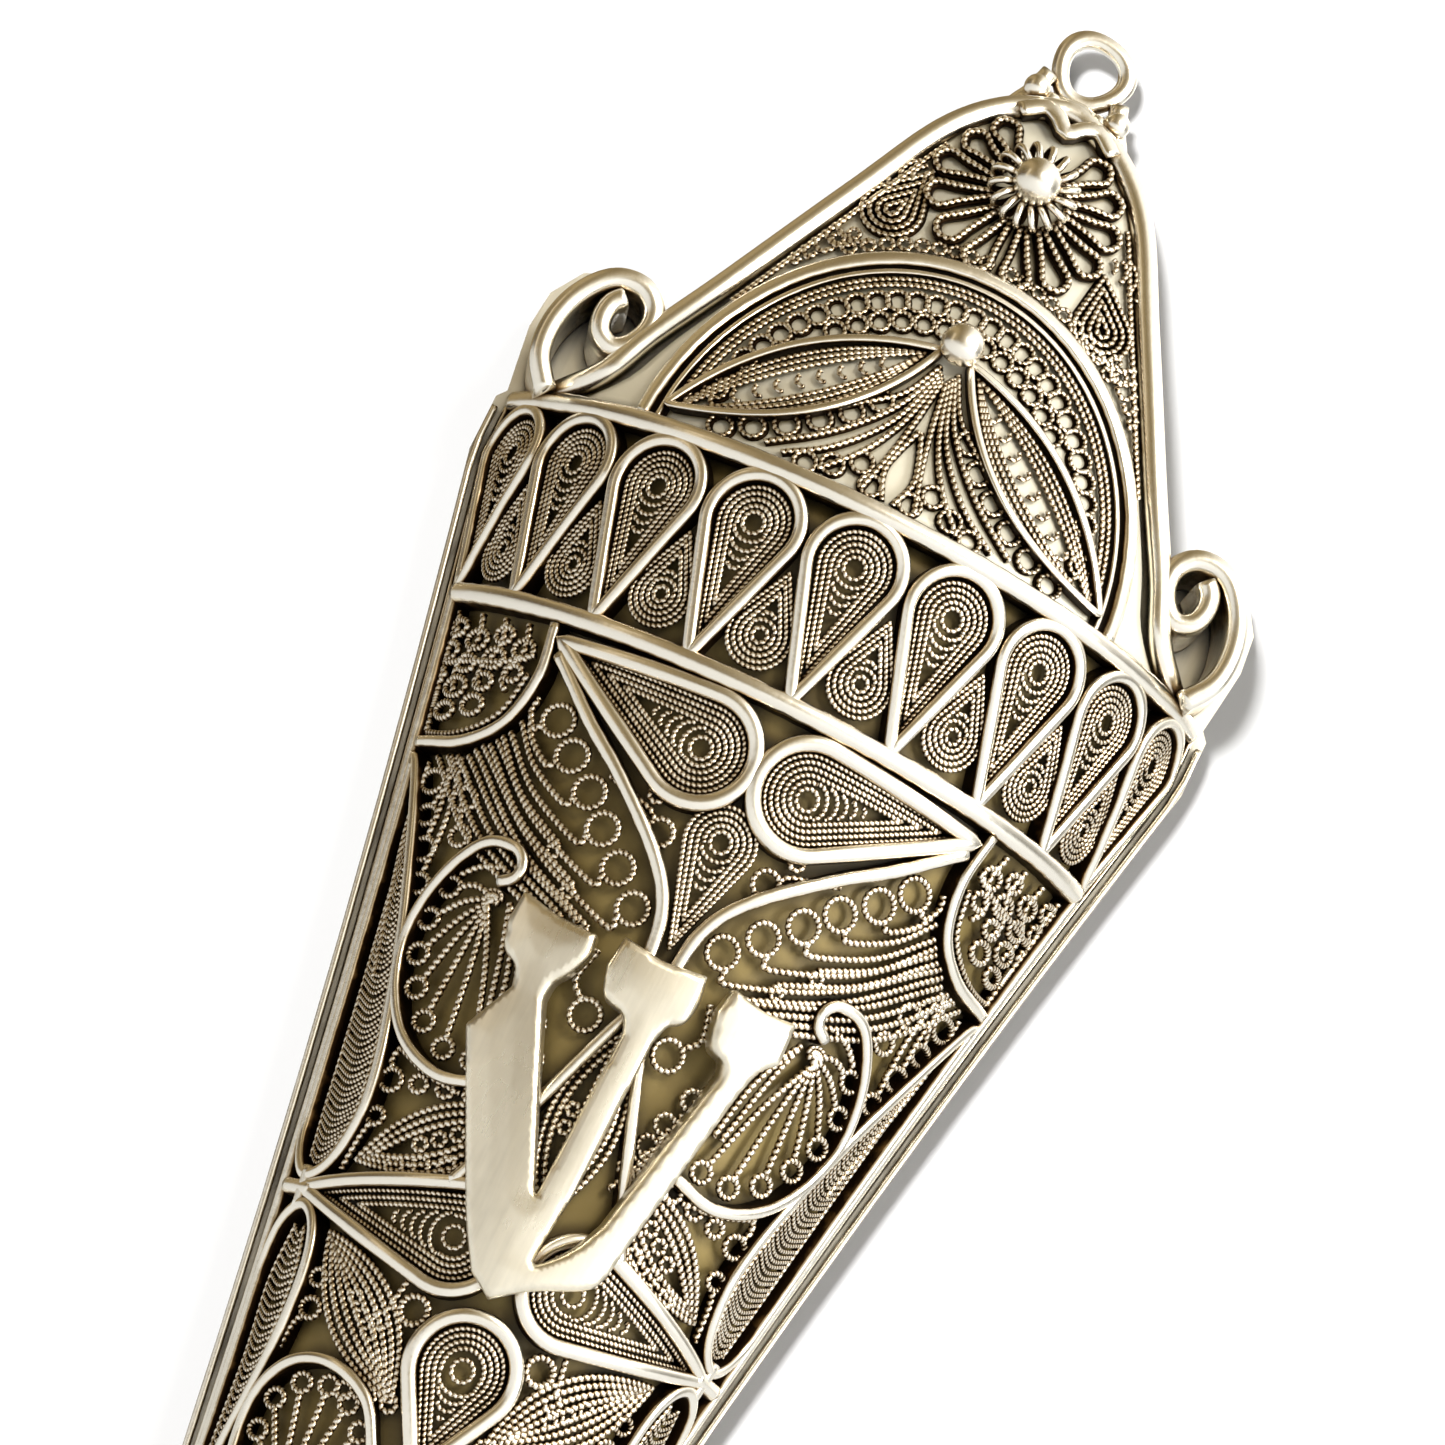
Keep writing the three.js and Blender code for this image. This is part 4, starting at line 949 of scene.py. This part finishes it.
# ---- the raised letter ----
def domed_plate(outline, face, low_h, high_h, edge, dome):
    """A plate with a flat underside, an edge rounded over a width, and a slightly domed top."""
    outline = evenly(outline, 0.16, closed=True)
    lowest, highest = outline.min(0), outline.max(0)
    grid = np.stack(np.meshgrid(*[np.arange(a, b, 0.2) for a, b in zip(lowest, highest)]), -1)
    grid = grid.reshape(-1, 2)
    start, way = outline, np.roll(outline, -1, 0) - outline

    def depth_inside(points):
        """Distance from each point to the outline, and whether the point is inside it."""
        gap = points[:, None] - start
        share = np.clip((gap * way).sum(-1) / (way * way).sum(-1), 0, 1)[..., None]
        distance = np.sqrt(((gap - share * way) ** 2).sum(-1)).min(1)
        x, z = points[:, None, 0], points[:, None, 1]
        spans = (start[:, 1] > z) != (np.roll(start, -1, 0)[:, 1] > z)
        slope = np.where(way[:, 1] == 0, 1e-9, way[:, 1])
        crossing = start[:, 0] + way[:, 0] * (z - start[:, 1]) / slope
        inside = (spans & (x < crossing)).sum(1) % 2 == 1
        return distance, inside

    distance, inside = depth_inside(grid)
    grid = grid[inside & (distance > 0.1)]
    count = len(outline)
    loop = [list(range(count))]
    flat = [Vector(p) for p in np.vstack([outline, grid])]
    points, _, faces, _, _, _ = delaunay_2d_cdt(flat, [], loop, 1, 1e-5)
    points = np.array([tuple(p) for p in points])
    faces = np.array([f for f in faces if len(f) == 3])
    distance, _ = depth_inside(points)
    distance[:count] = 0
    near = np.clip(distance / edge, 0, 1)
    rise = (high_h - low_h - edge) + edge * np.sqrt(1 - (1 - near) ** 2)
    rise = low_h + rise + dome * np.clip(distance / 1.2, 0, 1)
    total = len(points)
    piece = Piece()
    top = face(points[:, 0], points[:, 1], rise)
    bottom = face(points[:, 0], points[:, 1], 0 * rise + low_h)
    piece.points = [np.vstack([top, bottom])]
    piece.polish = [np.concatenate([0.45 + 0.55 * near, np.full(total, 0.1)])]
    around = np.arange(count)
    ahead = np.roll(around, -1)
    piece.triangles = [faces, faces[:, ::-1] + total]
    piece.quads = [np.stack([ahead, around, around + total, ahead + total], 1)]
    return piece


def curve(*points):
    """A smooth stretch of an outline."""
    return spline(points, fine=5)


def letter():
    """The plain three-armed letter that every mezuzah case carries."""
    outline = np.vstack(
        [
            curve((-0.4, -72.3), (1.2, -71.1), (3.2, -70), (3.8, -69.2), (4.1, -67.6)),
            curve((5.7, -58.3), (6.1, -56.9), (6.8, -56.1)),
            curve((6.7, -54), (5.1, -54.2), (3.5, -53.9)),
            curve((3.2, -55.2), (3.6, -56.9), (4.4, -57.3), (4.6, -57.9)),
            curve((2.8, -66.8), (2, -68.5), (0.75, -69.9), (0.75, -68.4), (1, -66.2)),
            curve((1.2, -58), (1.5, -57), (2.1, -56.5), (2.3, -55.3), (2.1, -54)),
            curve((0, -54.3), (-2, -54)),
            curve((-2.2, -55.6), (-1.7, -57), (-0.6, -57.4), (-0.2, -58.2)),
            curve((-0.5, -66.6), (-0.55, -66.9), (-0.75, -66.5)),
            curve((-4.1, -58.3), (-4, -57.4), (-3.6, -56.8), (-3.1, -55.6), (-3.2, -54.5)),
            curve((-5.2, -54.4), (-7, -53.9)),
            curve((-7.1, -55.4), (-6.7, -56.8), (-5.9, -57.4), (-5.6, -58.4)),
            curve((-6.7, -60.9), (-4.8, -65.1), (-2.9, -69.2), (-1.6, -71.5)),
        ]
    )
    piece = domed_plate(unroll_body(outline), body_face, 0.12, 1.25, edge=0.2, dome=0.06)
    piece.make("raised_letter_plate", BURNISHED, "satin_silver", "raised_letter")


letter()


# ---- the crown ----
def standing_strip(name, line, width, front, node):
    """A strip on edge, from the back plate forward to a y given at each point."""
    line = evenly(line, 0.25)
    piece = Piece()
    turn = np.linspace(0, np.pi, 9)
    reach = -width / 2 * np.cos(turn)
    crest = width * 0.4 * np.sin(turn)
    front_y = front(line)[:, None] + width * 0.4 - crest
    back_y = BASE_Y + 0 * front_y[:, :1]
    across = np.concatenate([[reach[0]], reach, [reach[-1]]])
    y = np.hstack([back_y, front_y, back_y])
    along = np.gradient(line, axis=0)
    along /= np.hypot(*along.T)[:, None]
    x = line[:, :1] + across * along[:, 1:]
    z = line[:, 1:] - across * along[:, :1]
    polish = np.concatenate([[0.45], 0.72 + 0.28 * np.sin(turn), [0.45]])
    piece.skin(np.stack([x, y, z], -1), polish)
    return piece.bright(name, node)


def crown_front(line):
    flat = unroll_crown(line)
    return crown_face(flat[:, 0], flat[:, 1], 0)[:, 1]


outline = np.vstack([crown_side[::-1] * [-1, 1], crown_side])
standing_strip("crown_frame_strip", outline, 1.25, crown_front, "crown_frame")

ARCH_HALF = 13.05
ARCH_FOOT_Z = TOP_RAIL_Z + RAIL_HEIGHT / 2
ARCH_RISE = 14.7
LEAF_TIP = np.array([-12.1, -28.6])


def arch(half, rise, count=60, trim=0.0):
    turn = np.pi * np.linspace(1 - trim, trim, count)
    return np.stack([half * np.cos(turn), ARCH_FOOT_Z + rise * np.sin(turn)], 1)


def on_arch(inset, turn):
    return (ARCH_HALF - inset) * np.cos(turn), ARCH_FOOT_Z + (ARCH_RISE - inset) * np.sin(turn)


def crown_side_of(side):
    """The crown's face for lines drawn on the left and mirrored onto a side."""
    return crown_face, lambda line: unroll_crown(line * [side, 1])


def lunette():
    wire = Piece(CROWN)
    wire.wire(arch(ARCH_HALF, ARCH_RISE), width=0.85)
    wire.wire(arch(ARCH_HALF - 0.75, ARCH_RISE - 0.75), width=0.3, top=-0.25)
    wire.bright("crown_arch_wire", "crown_arch")
    border = Piece(CROWN)
    for k, inset in enumerate((1.15, 1.5)):
        border.twist(arch(ARCH_HALF - inset, ARCH_RISE - inset, trim=0.02), width=0.36)
    count = 29
    for k in range(count):
        turn = np.pi * (0.07 + 0.86 * k / (count - 1))
        ring(border, on_arch(2.45, turn), 0.58, 0.27, seam=True)
    for k in range(13):
        turn = np.pi * (0.27 + 0.46 * k / 12)
        if k != 6:
            ring(border, on_arch(3.65, turn), 0.52, 0.27, seam=True)
    border.filigree("lunette_border", "lunette_filigree")
    for word, side in SIDES.items():
        face = crown_side_of(side)
        outline = leaf((-0.8, -19.8), LEAF_TIP, 1.75, 2.15)
        name, node = f"{word}_leaf_wire", f"{word}_lunette_leaf"
        plain_wire(name, [node], face, outline, closed=True, width=0.42, top=-0.02)
        inside = Piece(face)
        start, tip = np.array([-1.5, -20.3]), LEAF_TIP * [0.97, 1]
        for row in range(3):
            inset = 0.42 + 0.36 * row
            inside.twist(leaf(start, tip, 1.75 - inset, 2.15 - inset), closed=True, width=0.34)
        way = (tip - start) / np.hypot(*(tip - start))
        aside = sideways(way)
        length = np.hypot(*(tip - start))
        for k in range(9):
            at = start + way * length * (0.16 + 0.085 * k) - aside * 0.2
            inside.twist(circle(at, 0.36, math.atan2(way[1], way[0]) - 1.4, 2.8, 8), width=0.32)
        inside.filigree(f"{word}_leaf_filling", "lunette_filigree")
        palmette(word, face)


def palmette(word, face):
    """Twisted stems that fall from the granule between the leaves, with rings among them."""
    palm = Piece(face)
    outer = [(-2.5, -23.9), (-3.6, -25.2), (-4.9, -26.3), (-6.3, -27.3), (-7.8, -28.1)]
    for centre in outer + [(-9.3, -28.7)]:
        ring(palm, centre, 0.62, 0.28, seam=True)
    for centre in ((-2.0, -27.6), (-3.3, -28.4), (-4.6, -28.9), (-1.1, -28.6)):
        ring(palm, centre, 0.58, 0.28, seam=True)
    stems = (
        [(-0.5, -20.6), (-1.6, -22.9), (-3.3, -24.4), (-5.6, -26.1), (-8.6, -27.9)],
        [(-0.4, -20.9), (-1.5, -23.6), (-2.9, -25.5), (-4.7, -27.2), (-6.9, -28.7)],
        [(-0.3, -21), (-1.2, -24), (-2.3, -25.9), (-4, -27.7), (-5.9, -28.9)],
        [(-0.2, -21.2), (-0.9, -24.2), (-1.7, -26.1), (-2.6, -27.5), (-3.9, -29)],
        [(-0.1, -21.4), (-0.5, -24.4), (-0.9, -26.6), (-1.5, -29)],
        [(-0.05, -24.6), (-0.65, -26.4), (-0.8, -27.6), (-0.3, -29.1)],
    )
    for stem in stems:
        palm.strand(*stem, width=0.36)
        painted_shade_seam(palm, spline(stem), 0.42)
    palm.filigree(f"{word}_palmette", "lunette_filigree")


lunette()


def spandrels():
    """Coils beside the rosette, and short curls down to the arch's feet."""
    for word, side in SIDES.items():
        piece = Piece(crown_side_of(side))
        coil = (-6.4, -13.1) if side > 0 else (-6.3, -14.2)
        for k in range(4):
            radius = 0.32 + 0.42 * k
            outline = teardrop(coil, radius, (coil[0] + 0.5 + 0.2 * k, coil[1] + 0.9 + 0.72 * k))
            piece.twist(outline, closed=True, width=0.34)
            painted_shade_seam(piece, outline, 0.46, True)
        for k in range(16):
            z = -15.4 - 0.62 * k
            outer = -crown_half_width(z) + 0.8
            reach = (z - 0.3 - ARCH_FOOT_Z) / (ARCH_RISE + 0.8)
            inner = -math.sqrt(max(1 - reach**2, 0)) * (ARCH_HALF + 0.8)
            if inner - outer > 0.45:
                bend = ((outer + inner) / 2, z - 0.35)
                piece.strand((outer, z + 0.25), bend, (inner, z + 0.1), width=0.36)
                if inner - outer > 1.3:
                    ring(piece, ((outer + inner) / 2, z + 0.1), 0.3, 0.32)
        edge = [(-crown_half_width(z) + 0.85, z) for z in np.linspace(-8.0, -21.5, 12)]
        piece.strand(*edge, width=0.38)
        for k in range(9):
            x = -0.7 - 0.85 * k
            z = ARCH_FOOT_Z + (ARCH_RISE + 0.85) * math.sqrt(1 - (x / (ARCH_HALF + 0.9)) ** 2)
            ring(piece, (x, z + 0.12), 0.34, 0.32)
        for k in range(4):
            centre = (-5.1 - 0.35 * k, -10.4 - 0.1 * k)
            piece.twist(circle(centre, 0.5 + 0.28 * k, 1.9, 1.9, 8), width=0.34)
        piece.filigree(f"{word}_spandrel_filling", "spandrel_filigree")


spandrels()


# ---- rosette, granules and rings ----
ROSETTE_DROP = np.array([-0.2, -0.45, -1.2])  # from the frame's rosette to where the wires centre
COIL_RADIUS = 1.66  # of the rosette's collar, to the middle of its coil
COIL_WIRE = 0.19  # half its wire's width


def rosette():
    centre = np.array([-0.2, -9.0])
    petals = Piece(CROWN)
    count = 12
    for k in range(count):
        turn = math.pi * (-0.5 + (k - (count - 1) / 2) * 0.142)
        way = np.array([math.cos(turn), math.sin(turn)])
        reach = 5.3 + 0.4 * max(-way[1], 0)
        outer = centre + way * reach
        while abs(outer[0]) > crown_half_width(outer[1]) - 0.95:
            reach -= 0.1
            outer = centre + way * reach
        aside = sideways(way)
        root = centre + way * 1.9
        there = [(root, 0.12), ((root + outer) / 2, 0.72 * 0.62), (outer - way * 0.55, 0.72)]
        line = [point + aside * wide for point, wide in there] + [outer]
        line += [point - aside * wide for point, wide in there[::-1]]
        petals.strand(*line, width=0.38, h=-0.25)
        painted_shade_seam(petals, spline(line), 0.54, top=-0.42)
    petals.filigree("rosette_petal_wires", "rosette_petals")
    coil = Piece()
    seat = middle("rosette_coil") + ROSETTE_DROP
    turns, around, fine = 16, 8, 20
    t = np.linspace(0, 2 * np.pi, turns * fine, endpoint=False)
    spin = turns * t
    radius = COIL_RADIUS + 0.6 * np.cos(spin)
    path = np.stack([radius * np.cos(t), 0.45 * np.sin(spin), radius * np.sin(t)], 1) + seat
    along = np.roll(path, -1, 0) - np.roll(path, 1, 0)
    along /= np.linalg.norm(along, axis=1)[:, None]
    hub = np.stack([COIL_RADIUS * np.cos(t), 0 * t, COIL_RADIUS * np.sin(t)], 1) + seat
    out = path - hub
    out -= along * (out * along).sum(1)[:, None]
    out /= np.linalg.norm(out, axis=1)[:, None]
    third = np.cross(along, out)
    turn = 2 * np.pi * np.arange(around) / around
    section = np.cos(turn)[:, None] * out[:, None] + np.sin(turn)[:, None] * third[:, None]
    coil.skin(path[:, None] + COIL_WIRE * section, 0.45 + 0.55 * np.cos(turn), closed=True)
    coil.bright("rosette_coil_wire", "rosette_coil")
    ball = Piece()
    ball.ball(middle("rosette_ball") + ROSETTE_DROP + [0, -0.15, 0.15], 1.26)
    ball.bright("rosette_granule", "rosette_ball")
    ball = Piece()
    ball.ball(middle("lunette_ball") + [0, 0.5, 0], 1.12, 0.85)
    ball.bright("lunette_granule", "lunette_ball")


rosette()


def apex_solder():
    """Solder that ran into the point of the crown and left a small cusp."""
    cusp = [(-2.6, -4.4), (-1.5, -3.6), (-0.7, -3.8), (0.1, -4.5), (0.9, -3.8), (1.7, -3.6)]
    plain_wire("apex_solder", [], CROWN, spline(cusp + [(2.8, -4.5)]), width=0.95, top=0.4)
    piece = Piece(PLATE)
    seat = {"foot": -0.8, "shine": (0.55, 1.0)}
    for side in (-1, 1):
        shoulder = [(3.2 * side, -3.9), (2.5 * side, -2.6), (2.05 * side, -1.2)]
        piece.wire(spline(shoulder), width=1.0, top=0.35, **seat)
    piece.wire(spline([(-2.7, -3.3), (0, -2.55), (2.7, -3.3)]), width=1.3, top=0.3, **seat)
    piece.bright("ring_seat")


apex_solder()


def torus(piece, centre, radius, wire, depth):
    """A soldered ring of slightly uneven wire."""
    turn = 2 * np.pi * np.arange(48) / 48
    around = 2 * np.pi * np.arange(14) / 14
    reach = radius + wire * np.cos(around)
    uneven = (1 + 0.05 * np.sin(3 * turn + 0.6))[:, None]
    x = reach * np.cos(turn)[:, None] * uneven
    z = reach * np.sin(turn)[:, None] * uneven
    y = depth * np.sin(around) + 0 * x
    # the wire is lighter on its front than on its back
    polish = 0.6 + (1 - 0.6) * np.clip(-np.sin(around) + 0.4, 0, 1)
    piece.skin(np.stack([x, y, z], -1)[::-1] + np.array(centre), polish, closed=True)


def rings():
    for name, node in (("hanging_ring_wire", "hanging_ring"), ("tail_ring_wire", "tail_ring")):
        piece = Piece()
        seat = middle(node)
        torus(piece, seat, 1.8, 0.5, (high(node) - low(node))[1] / 2 - 0.03)
        piece.bright(name, node)
    for word in SIDES:
        piece = Piece()
        seat = middle(f"{word}_ring_ball")
        inward = -np.sign(seat[0])
        piece.ball(seat + [-0.15 * inward, 0, 0.1], 0.72, 0.95, 22)
        piece.ball(seat + [0.8 * inward, 0.2, -0.35], 0.62, 0.9, 16)
        piece.ball(seat + [-0.45 * inward, 0.25, -0.85], 0.58, 0.9, 16)
        piece.bright(f"{word}_ring_granule", f"{word}_ring_ball")


rings()

# ---- volutes and tail ----
VOLUTE = [
    (-17.9, -29.7), (-18.9, -28.2), (-19.1, -26.5), (-18.7, -24.8), (-17.8, -23.4),
    (-16.8, -22.75), (-15.6, -22.75), (-14.75, -23.5), (-14.6, -24.6), (-15.05, -25.65),
    (-15.8, -26.2), (-16.6, -25.9), (-16.95, -25.1), (-16.85, -24.2), (-16.35, -23.6),
]
for word, side in SIDES.items():
    node = f"{word}_volute"
    front_y = low(node)[1]
    line = mirrored(spline(VOLUTE), side)
    standing_strip(f"{node}_strip", line, 1.1, lambda p: 0 * p[:, 0] + front_y, node)

TAIL_DROP = (np.array((0, -103.6)), 2.2, (0, -108.9))


def tail():
    drop, centre = teardrop(*TAIL_DROP), TAIL_DROP[0]
    plain_wire("tail_drop_wire", ["tail_drop"], PLATE, drop, True, width=0.8, top=1.3, foot=0)
    piece = Piece()
    for row in range(3):
        share = (1.7 - 0.5 * row) / TAIL_DROP[1]
        piece.twist(centre + (drop - centre) * share, closed=True, h=0.4)
    piece.filigree("tail_filling")


tail()


# ---- the rolled parchment ----
SCROLL_TURNS = 4.84  # of 60 mm of sheet, as wide as it is tall
SCROLL_RADII = (1.1, 2.85)
SKIN = 0.18  # thickness of the parchment


def scroll():
    seat = middle("parchment_scroll")
    bottom, top = low("parchment_scroll")[2], high("parchment_scroll")[2]
    piece = Piece()
    turn = np.linspace(0, 2 * np.pi * SCROLL_TURNS, 250)
    radius = np.interp(turn, [0, turn[-1]], SCROLL_RADII)
    outer, inner = (
        np.stack([reach * np.cos(turn), reach * np.sin(turn)], 1)
        for reach in (radius + SKIN / 2, radius - SKIN / 2)
    )
    section = np.vstack([outer, inner[::-1]])
    heights = np.linspace(bottom, top, 24)
    rings_of = np.zeros((24, len(section), 3))
    rings_of[..., 0] = section[:, 0] + seat[0]
    rings_of[..., 1] = section[:, 1] + seat[1]
    rings_of[..., 2] = heights[:, None]
    steps, around = rings_of.shape[:2]
    index = np.arange(steps * around).reshape(steps, around)
    here, ahead = index[:-1], index[1:]
    quads = np.stack([here, np.roll(here, -1, 1), np.roll(ahead, -1, 1), ahead], -1).reshape(-1, 4)
    half = len(outer)
    strip = np.stack([np.arange(half - 1), np.arange(1, half)], 1)
    facing = 2 * half - 1 - strip
    cap = np.stack([strip[:, 0], facing[:, 0], facing[:, 1], strip[:, 1]], 1)
    piece.points = [rings_of.reshape(-1, 3)]
    piece.polish = [np.ones(steps * around)]
    piece.quads = [quads, cap, cap[:, ::-1] + (steps - 1) * around]
    piece.make("rolled_parchment", PARCHMENT, "parchment", "parchment_scroll")


scroll()

# ---- stage, lights and camera ----
FLOOR_DROP = 6.0  # below the tail
FLOOR_WHITE = (0.78, 0.83, 0.93)
WALL_GREY = (0.15, 0.15, 0.15)  # lit to white by its own lamp


def flat_square(name, centre, across, up, material):
    mesh = bpy.data.meshes.new(name)
    centre, across, up = Vector(centre), Vector(across), Vector(up)
    signs = ((-1, -1), (1, -1), (1, 1), (-1, 1))
    corners = [centre + s * across + t * up for s, t in signs]
    mesh.from_pydata(corners, [], [(0, 1, 2, 3)])
    mesh.materials.append(material)
    thing = bpy.data.objects.new(name, mesh)
    bpy.context.scene.collection.objects.link(thing)
    return thing


floor_z = low("tail_ring")[2] - FLOOR_DROP
floor_white = plain_material("floor_white", FLOOR_WHITE, 0.9)
flat_square("floor", (0, 0, floor_z * MM), (3, 0, 0), (0, 3, 0), floor_white)


def backdrop():
    """A pale wall just behind the case, seen only from in front, that casts nothing on it."""
    made = Nodes("wall_white", Roughness=0.95)
    made.shader.inputs["Base Color"].default_value = (*WALL_GREY, 1)
    tree = made.tree
    clear = made.add("ShaderNodeBsdfTransparent")
    behind = made.add("ShaderNodeNewGeometry").outputs["Backfacing"]
    links = {0: behind, 1: made.shader.outputs[0], 2: clear.outputs[0]}
    mixed = made.add("ShaderNodeMixShader", links)
    tree.links.new(mixed.outputs[0], tree.nodes["Material Output"].inputs["Surface"])
    wall = flat_square("wall", (0, 0.0011, 0), (1.2, 0, 0), (0, 0, 1.2), made.material)
    wall.visible_diffuse = False
    wall.visible_glossy = False
    wall.visible_shadow = False
    wall.visible_transmission = False


backdrop()


def area_light(name, place, aim, size, power, colour=(1, 1, 1)):
    light = bpy.data.lights.new(name, "AREA")
    light.shape = "RECTANGLE"
    light.size, light.size_y = size
    light.energy = power
    light.color = colour
    lamp = bpy.data.objects.new(name, light)
    bpy.context.scene.collection.objects.link(lamp)
    lamp.location = place
    lamp.rotation_mode = "QUATERNION"
    lamp.rotation_quaternion = (Vector(aim) - Vector(place)).to_track_quat("-Z", "Y")
    return lamp


AIM = Vector((-2.475, -7.0, -41.0)) * MM  # what the camera and the lamps point at


def wall_light():
    """A lamp for the wall alone, so that the case casts a soft shadow close to its edge."""
    lamp = area_light("wall_lamp", (-0.43, -1.5, -0.02), (0, 0, -0.04), (0.17, 0.17), 135.0)
    only_wall = bpy.data.collections.new("wall_only")
    only_wall.objects.link(bpy.data.objects["wall"])
    lamp.light_linking.receiver_collection = only_wall


wall_light()
area_light("key", (0.30, -0.80, 0.42), AIM, (0.2, 0.2), 3.4, (1.0, 0.94, 0.84))
area_light("right_panel", (0.60, -0.42, 0.0), AIM, (0.16, 0.6), 5.5)
area_light("left_card", (-0.7, -0.45, 0.1), AIM, (0.12, 0.6), 0.15, (1.0, 0.88, 0.70))
area_light("back_fill", (0.2, 0.8, 0.3), AIM, (0.5, 0.5), 1.1)


SKY_ACROSS = (
    (0.0, (0.10, 0.07, 0.035)),
    (0.14, (0.38, 0.29, 0.155)),
    (0.28, (0.18, 0.13, 0.06)),
    (0.46, (0.36, 0.29, 0.175)),
    (0.62, (1.2, 1.17, 1.1)),
    (0.86, (1.35, 1.33, 1.28)),
    (1.0, (0.20, 0.19, 0.17)),
)
SKY_HEIGHT = ((0.0, 0.35), (0.36, 0.3), (0.5, 0.95), (0.7, 1.0), (0.86, 1.15), (1.0, 1.0))
SKY_SEEN = 0.97  # what the camera sees of it


def studio():
    """Surroundings that are tan on the left, dim in front and white on the right."""
    world = bpy.data.worlds.new("studio")
    bpy.context.scene.world = world
    world.use_nodes = True
    sky = Tree(world.node_tree)
    where = sky.add("ShaderNodeTexCoord").outputs["Generated"]
    split = sky.add("ShaderNodeSeparateXYZ", {0: where})
    across, height = (sky.sums("MULTIPLY_ADD", split.outputs[axis], 0.5, 0.5) for axis in "XZ")
    colour = sky.ramp(across, *SKY_ACROSS)
    grey = sky.ramp(height, *SKY_HEIGHT)
    links = {"Factor": 1.0, "A": colour, "B": grey}
    product = sky.add("ShaderNodeMix", links, data_type="RGBA", blend_type="MULTIPLY")
    seen = sky.add("ShaderNodeLightPath").outputs["Is Camera Ray"]
    links = {"Factor": seen, "A": product.outputs["Result"], "B": (*[SKY_SEEN] * 3, 1)}
    shown = sky.add("ShaderNodeMix", links, data_type="RGBA").outputs["Result"]
    background = sky.tree.nodes["Background"]
    sky.tree.links.new(shown, background.inputs["Color"])
    background.inputs["Strength"].default_value = 1.0


studio()

CAMERA_DISTANCE = 250.0
LOOK_UP = math.radians(11.0)  # the camera looks up at the case
ROLL = math.radians(26.1)  # and is turned about the way it looks
LENS = 124.6
SENSOR = 36.0


def camera():
    data = bpy.data.cameras.new("camera")
    data.lens = LENS
    data.sensor_width = SENSOR
    data.clip_start, data.clip_end = 0.01, 10.0
    thing = bpy.data.objects.new("camera", data)
    bpy.context.scene.collection.objects.link(thing)
    ahead = Vector((0, math.cos(LOOK_UP), math.sin(LOOK_UP)))
    across = Vector((1, 0, 0))
    upward = Vector((0, -math.sin(LOOK_UP), math.cos(LOOK_UP)))
    right = math.cos(ROLL) * across + math.sin(ROLL) * upward
    top = math.cos(ROLL) * upward - math.sin(ROLL) * across
    turned = Matrix((right, top, -ahead)).transposed().to_4x4()
    thing.matrix_world = Matrix.Translation(AIM - ahead * CAMERA_DISTANCE * MM) @ turned
    bpy.context.scene.camera = thing


camera()
bpy.context.scene.view_settings.view_transform = "Standard"
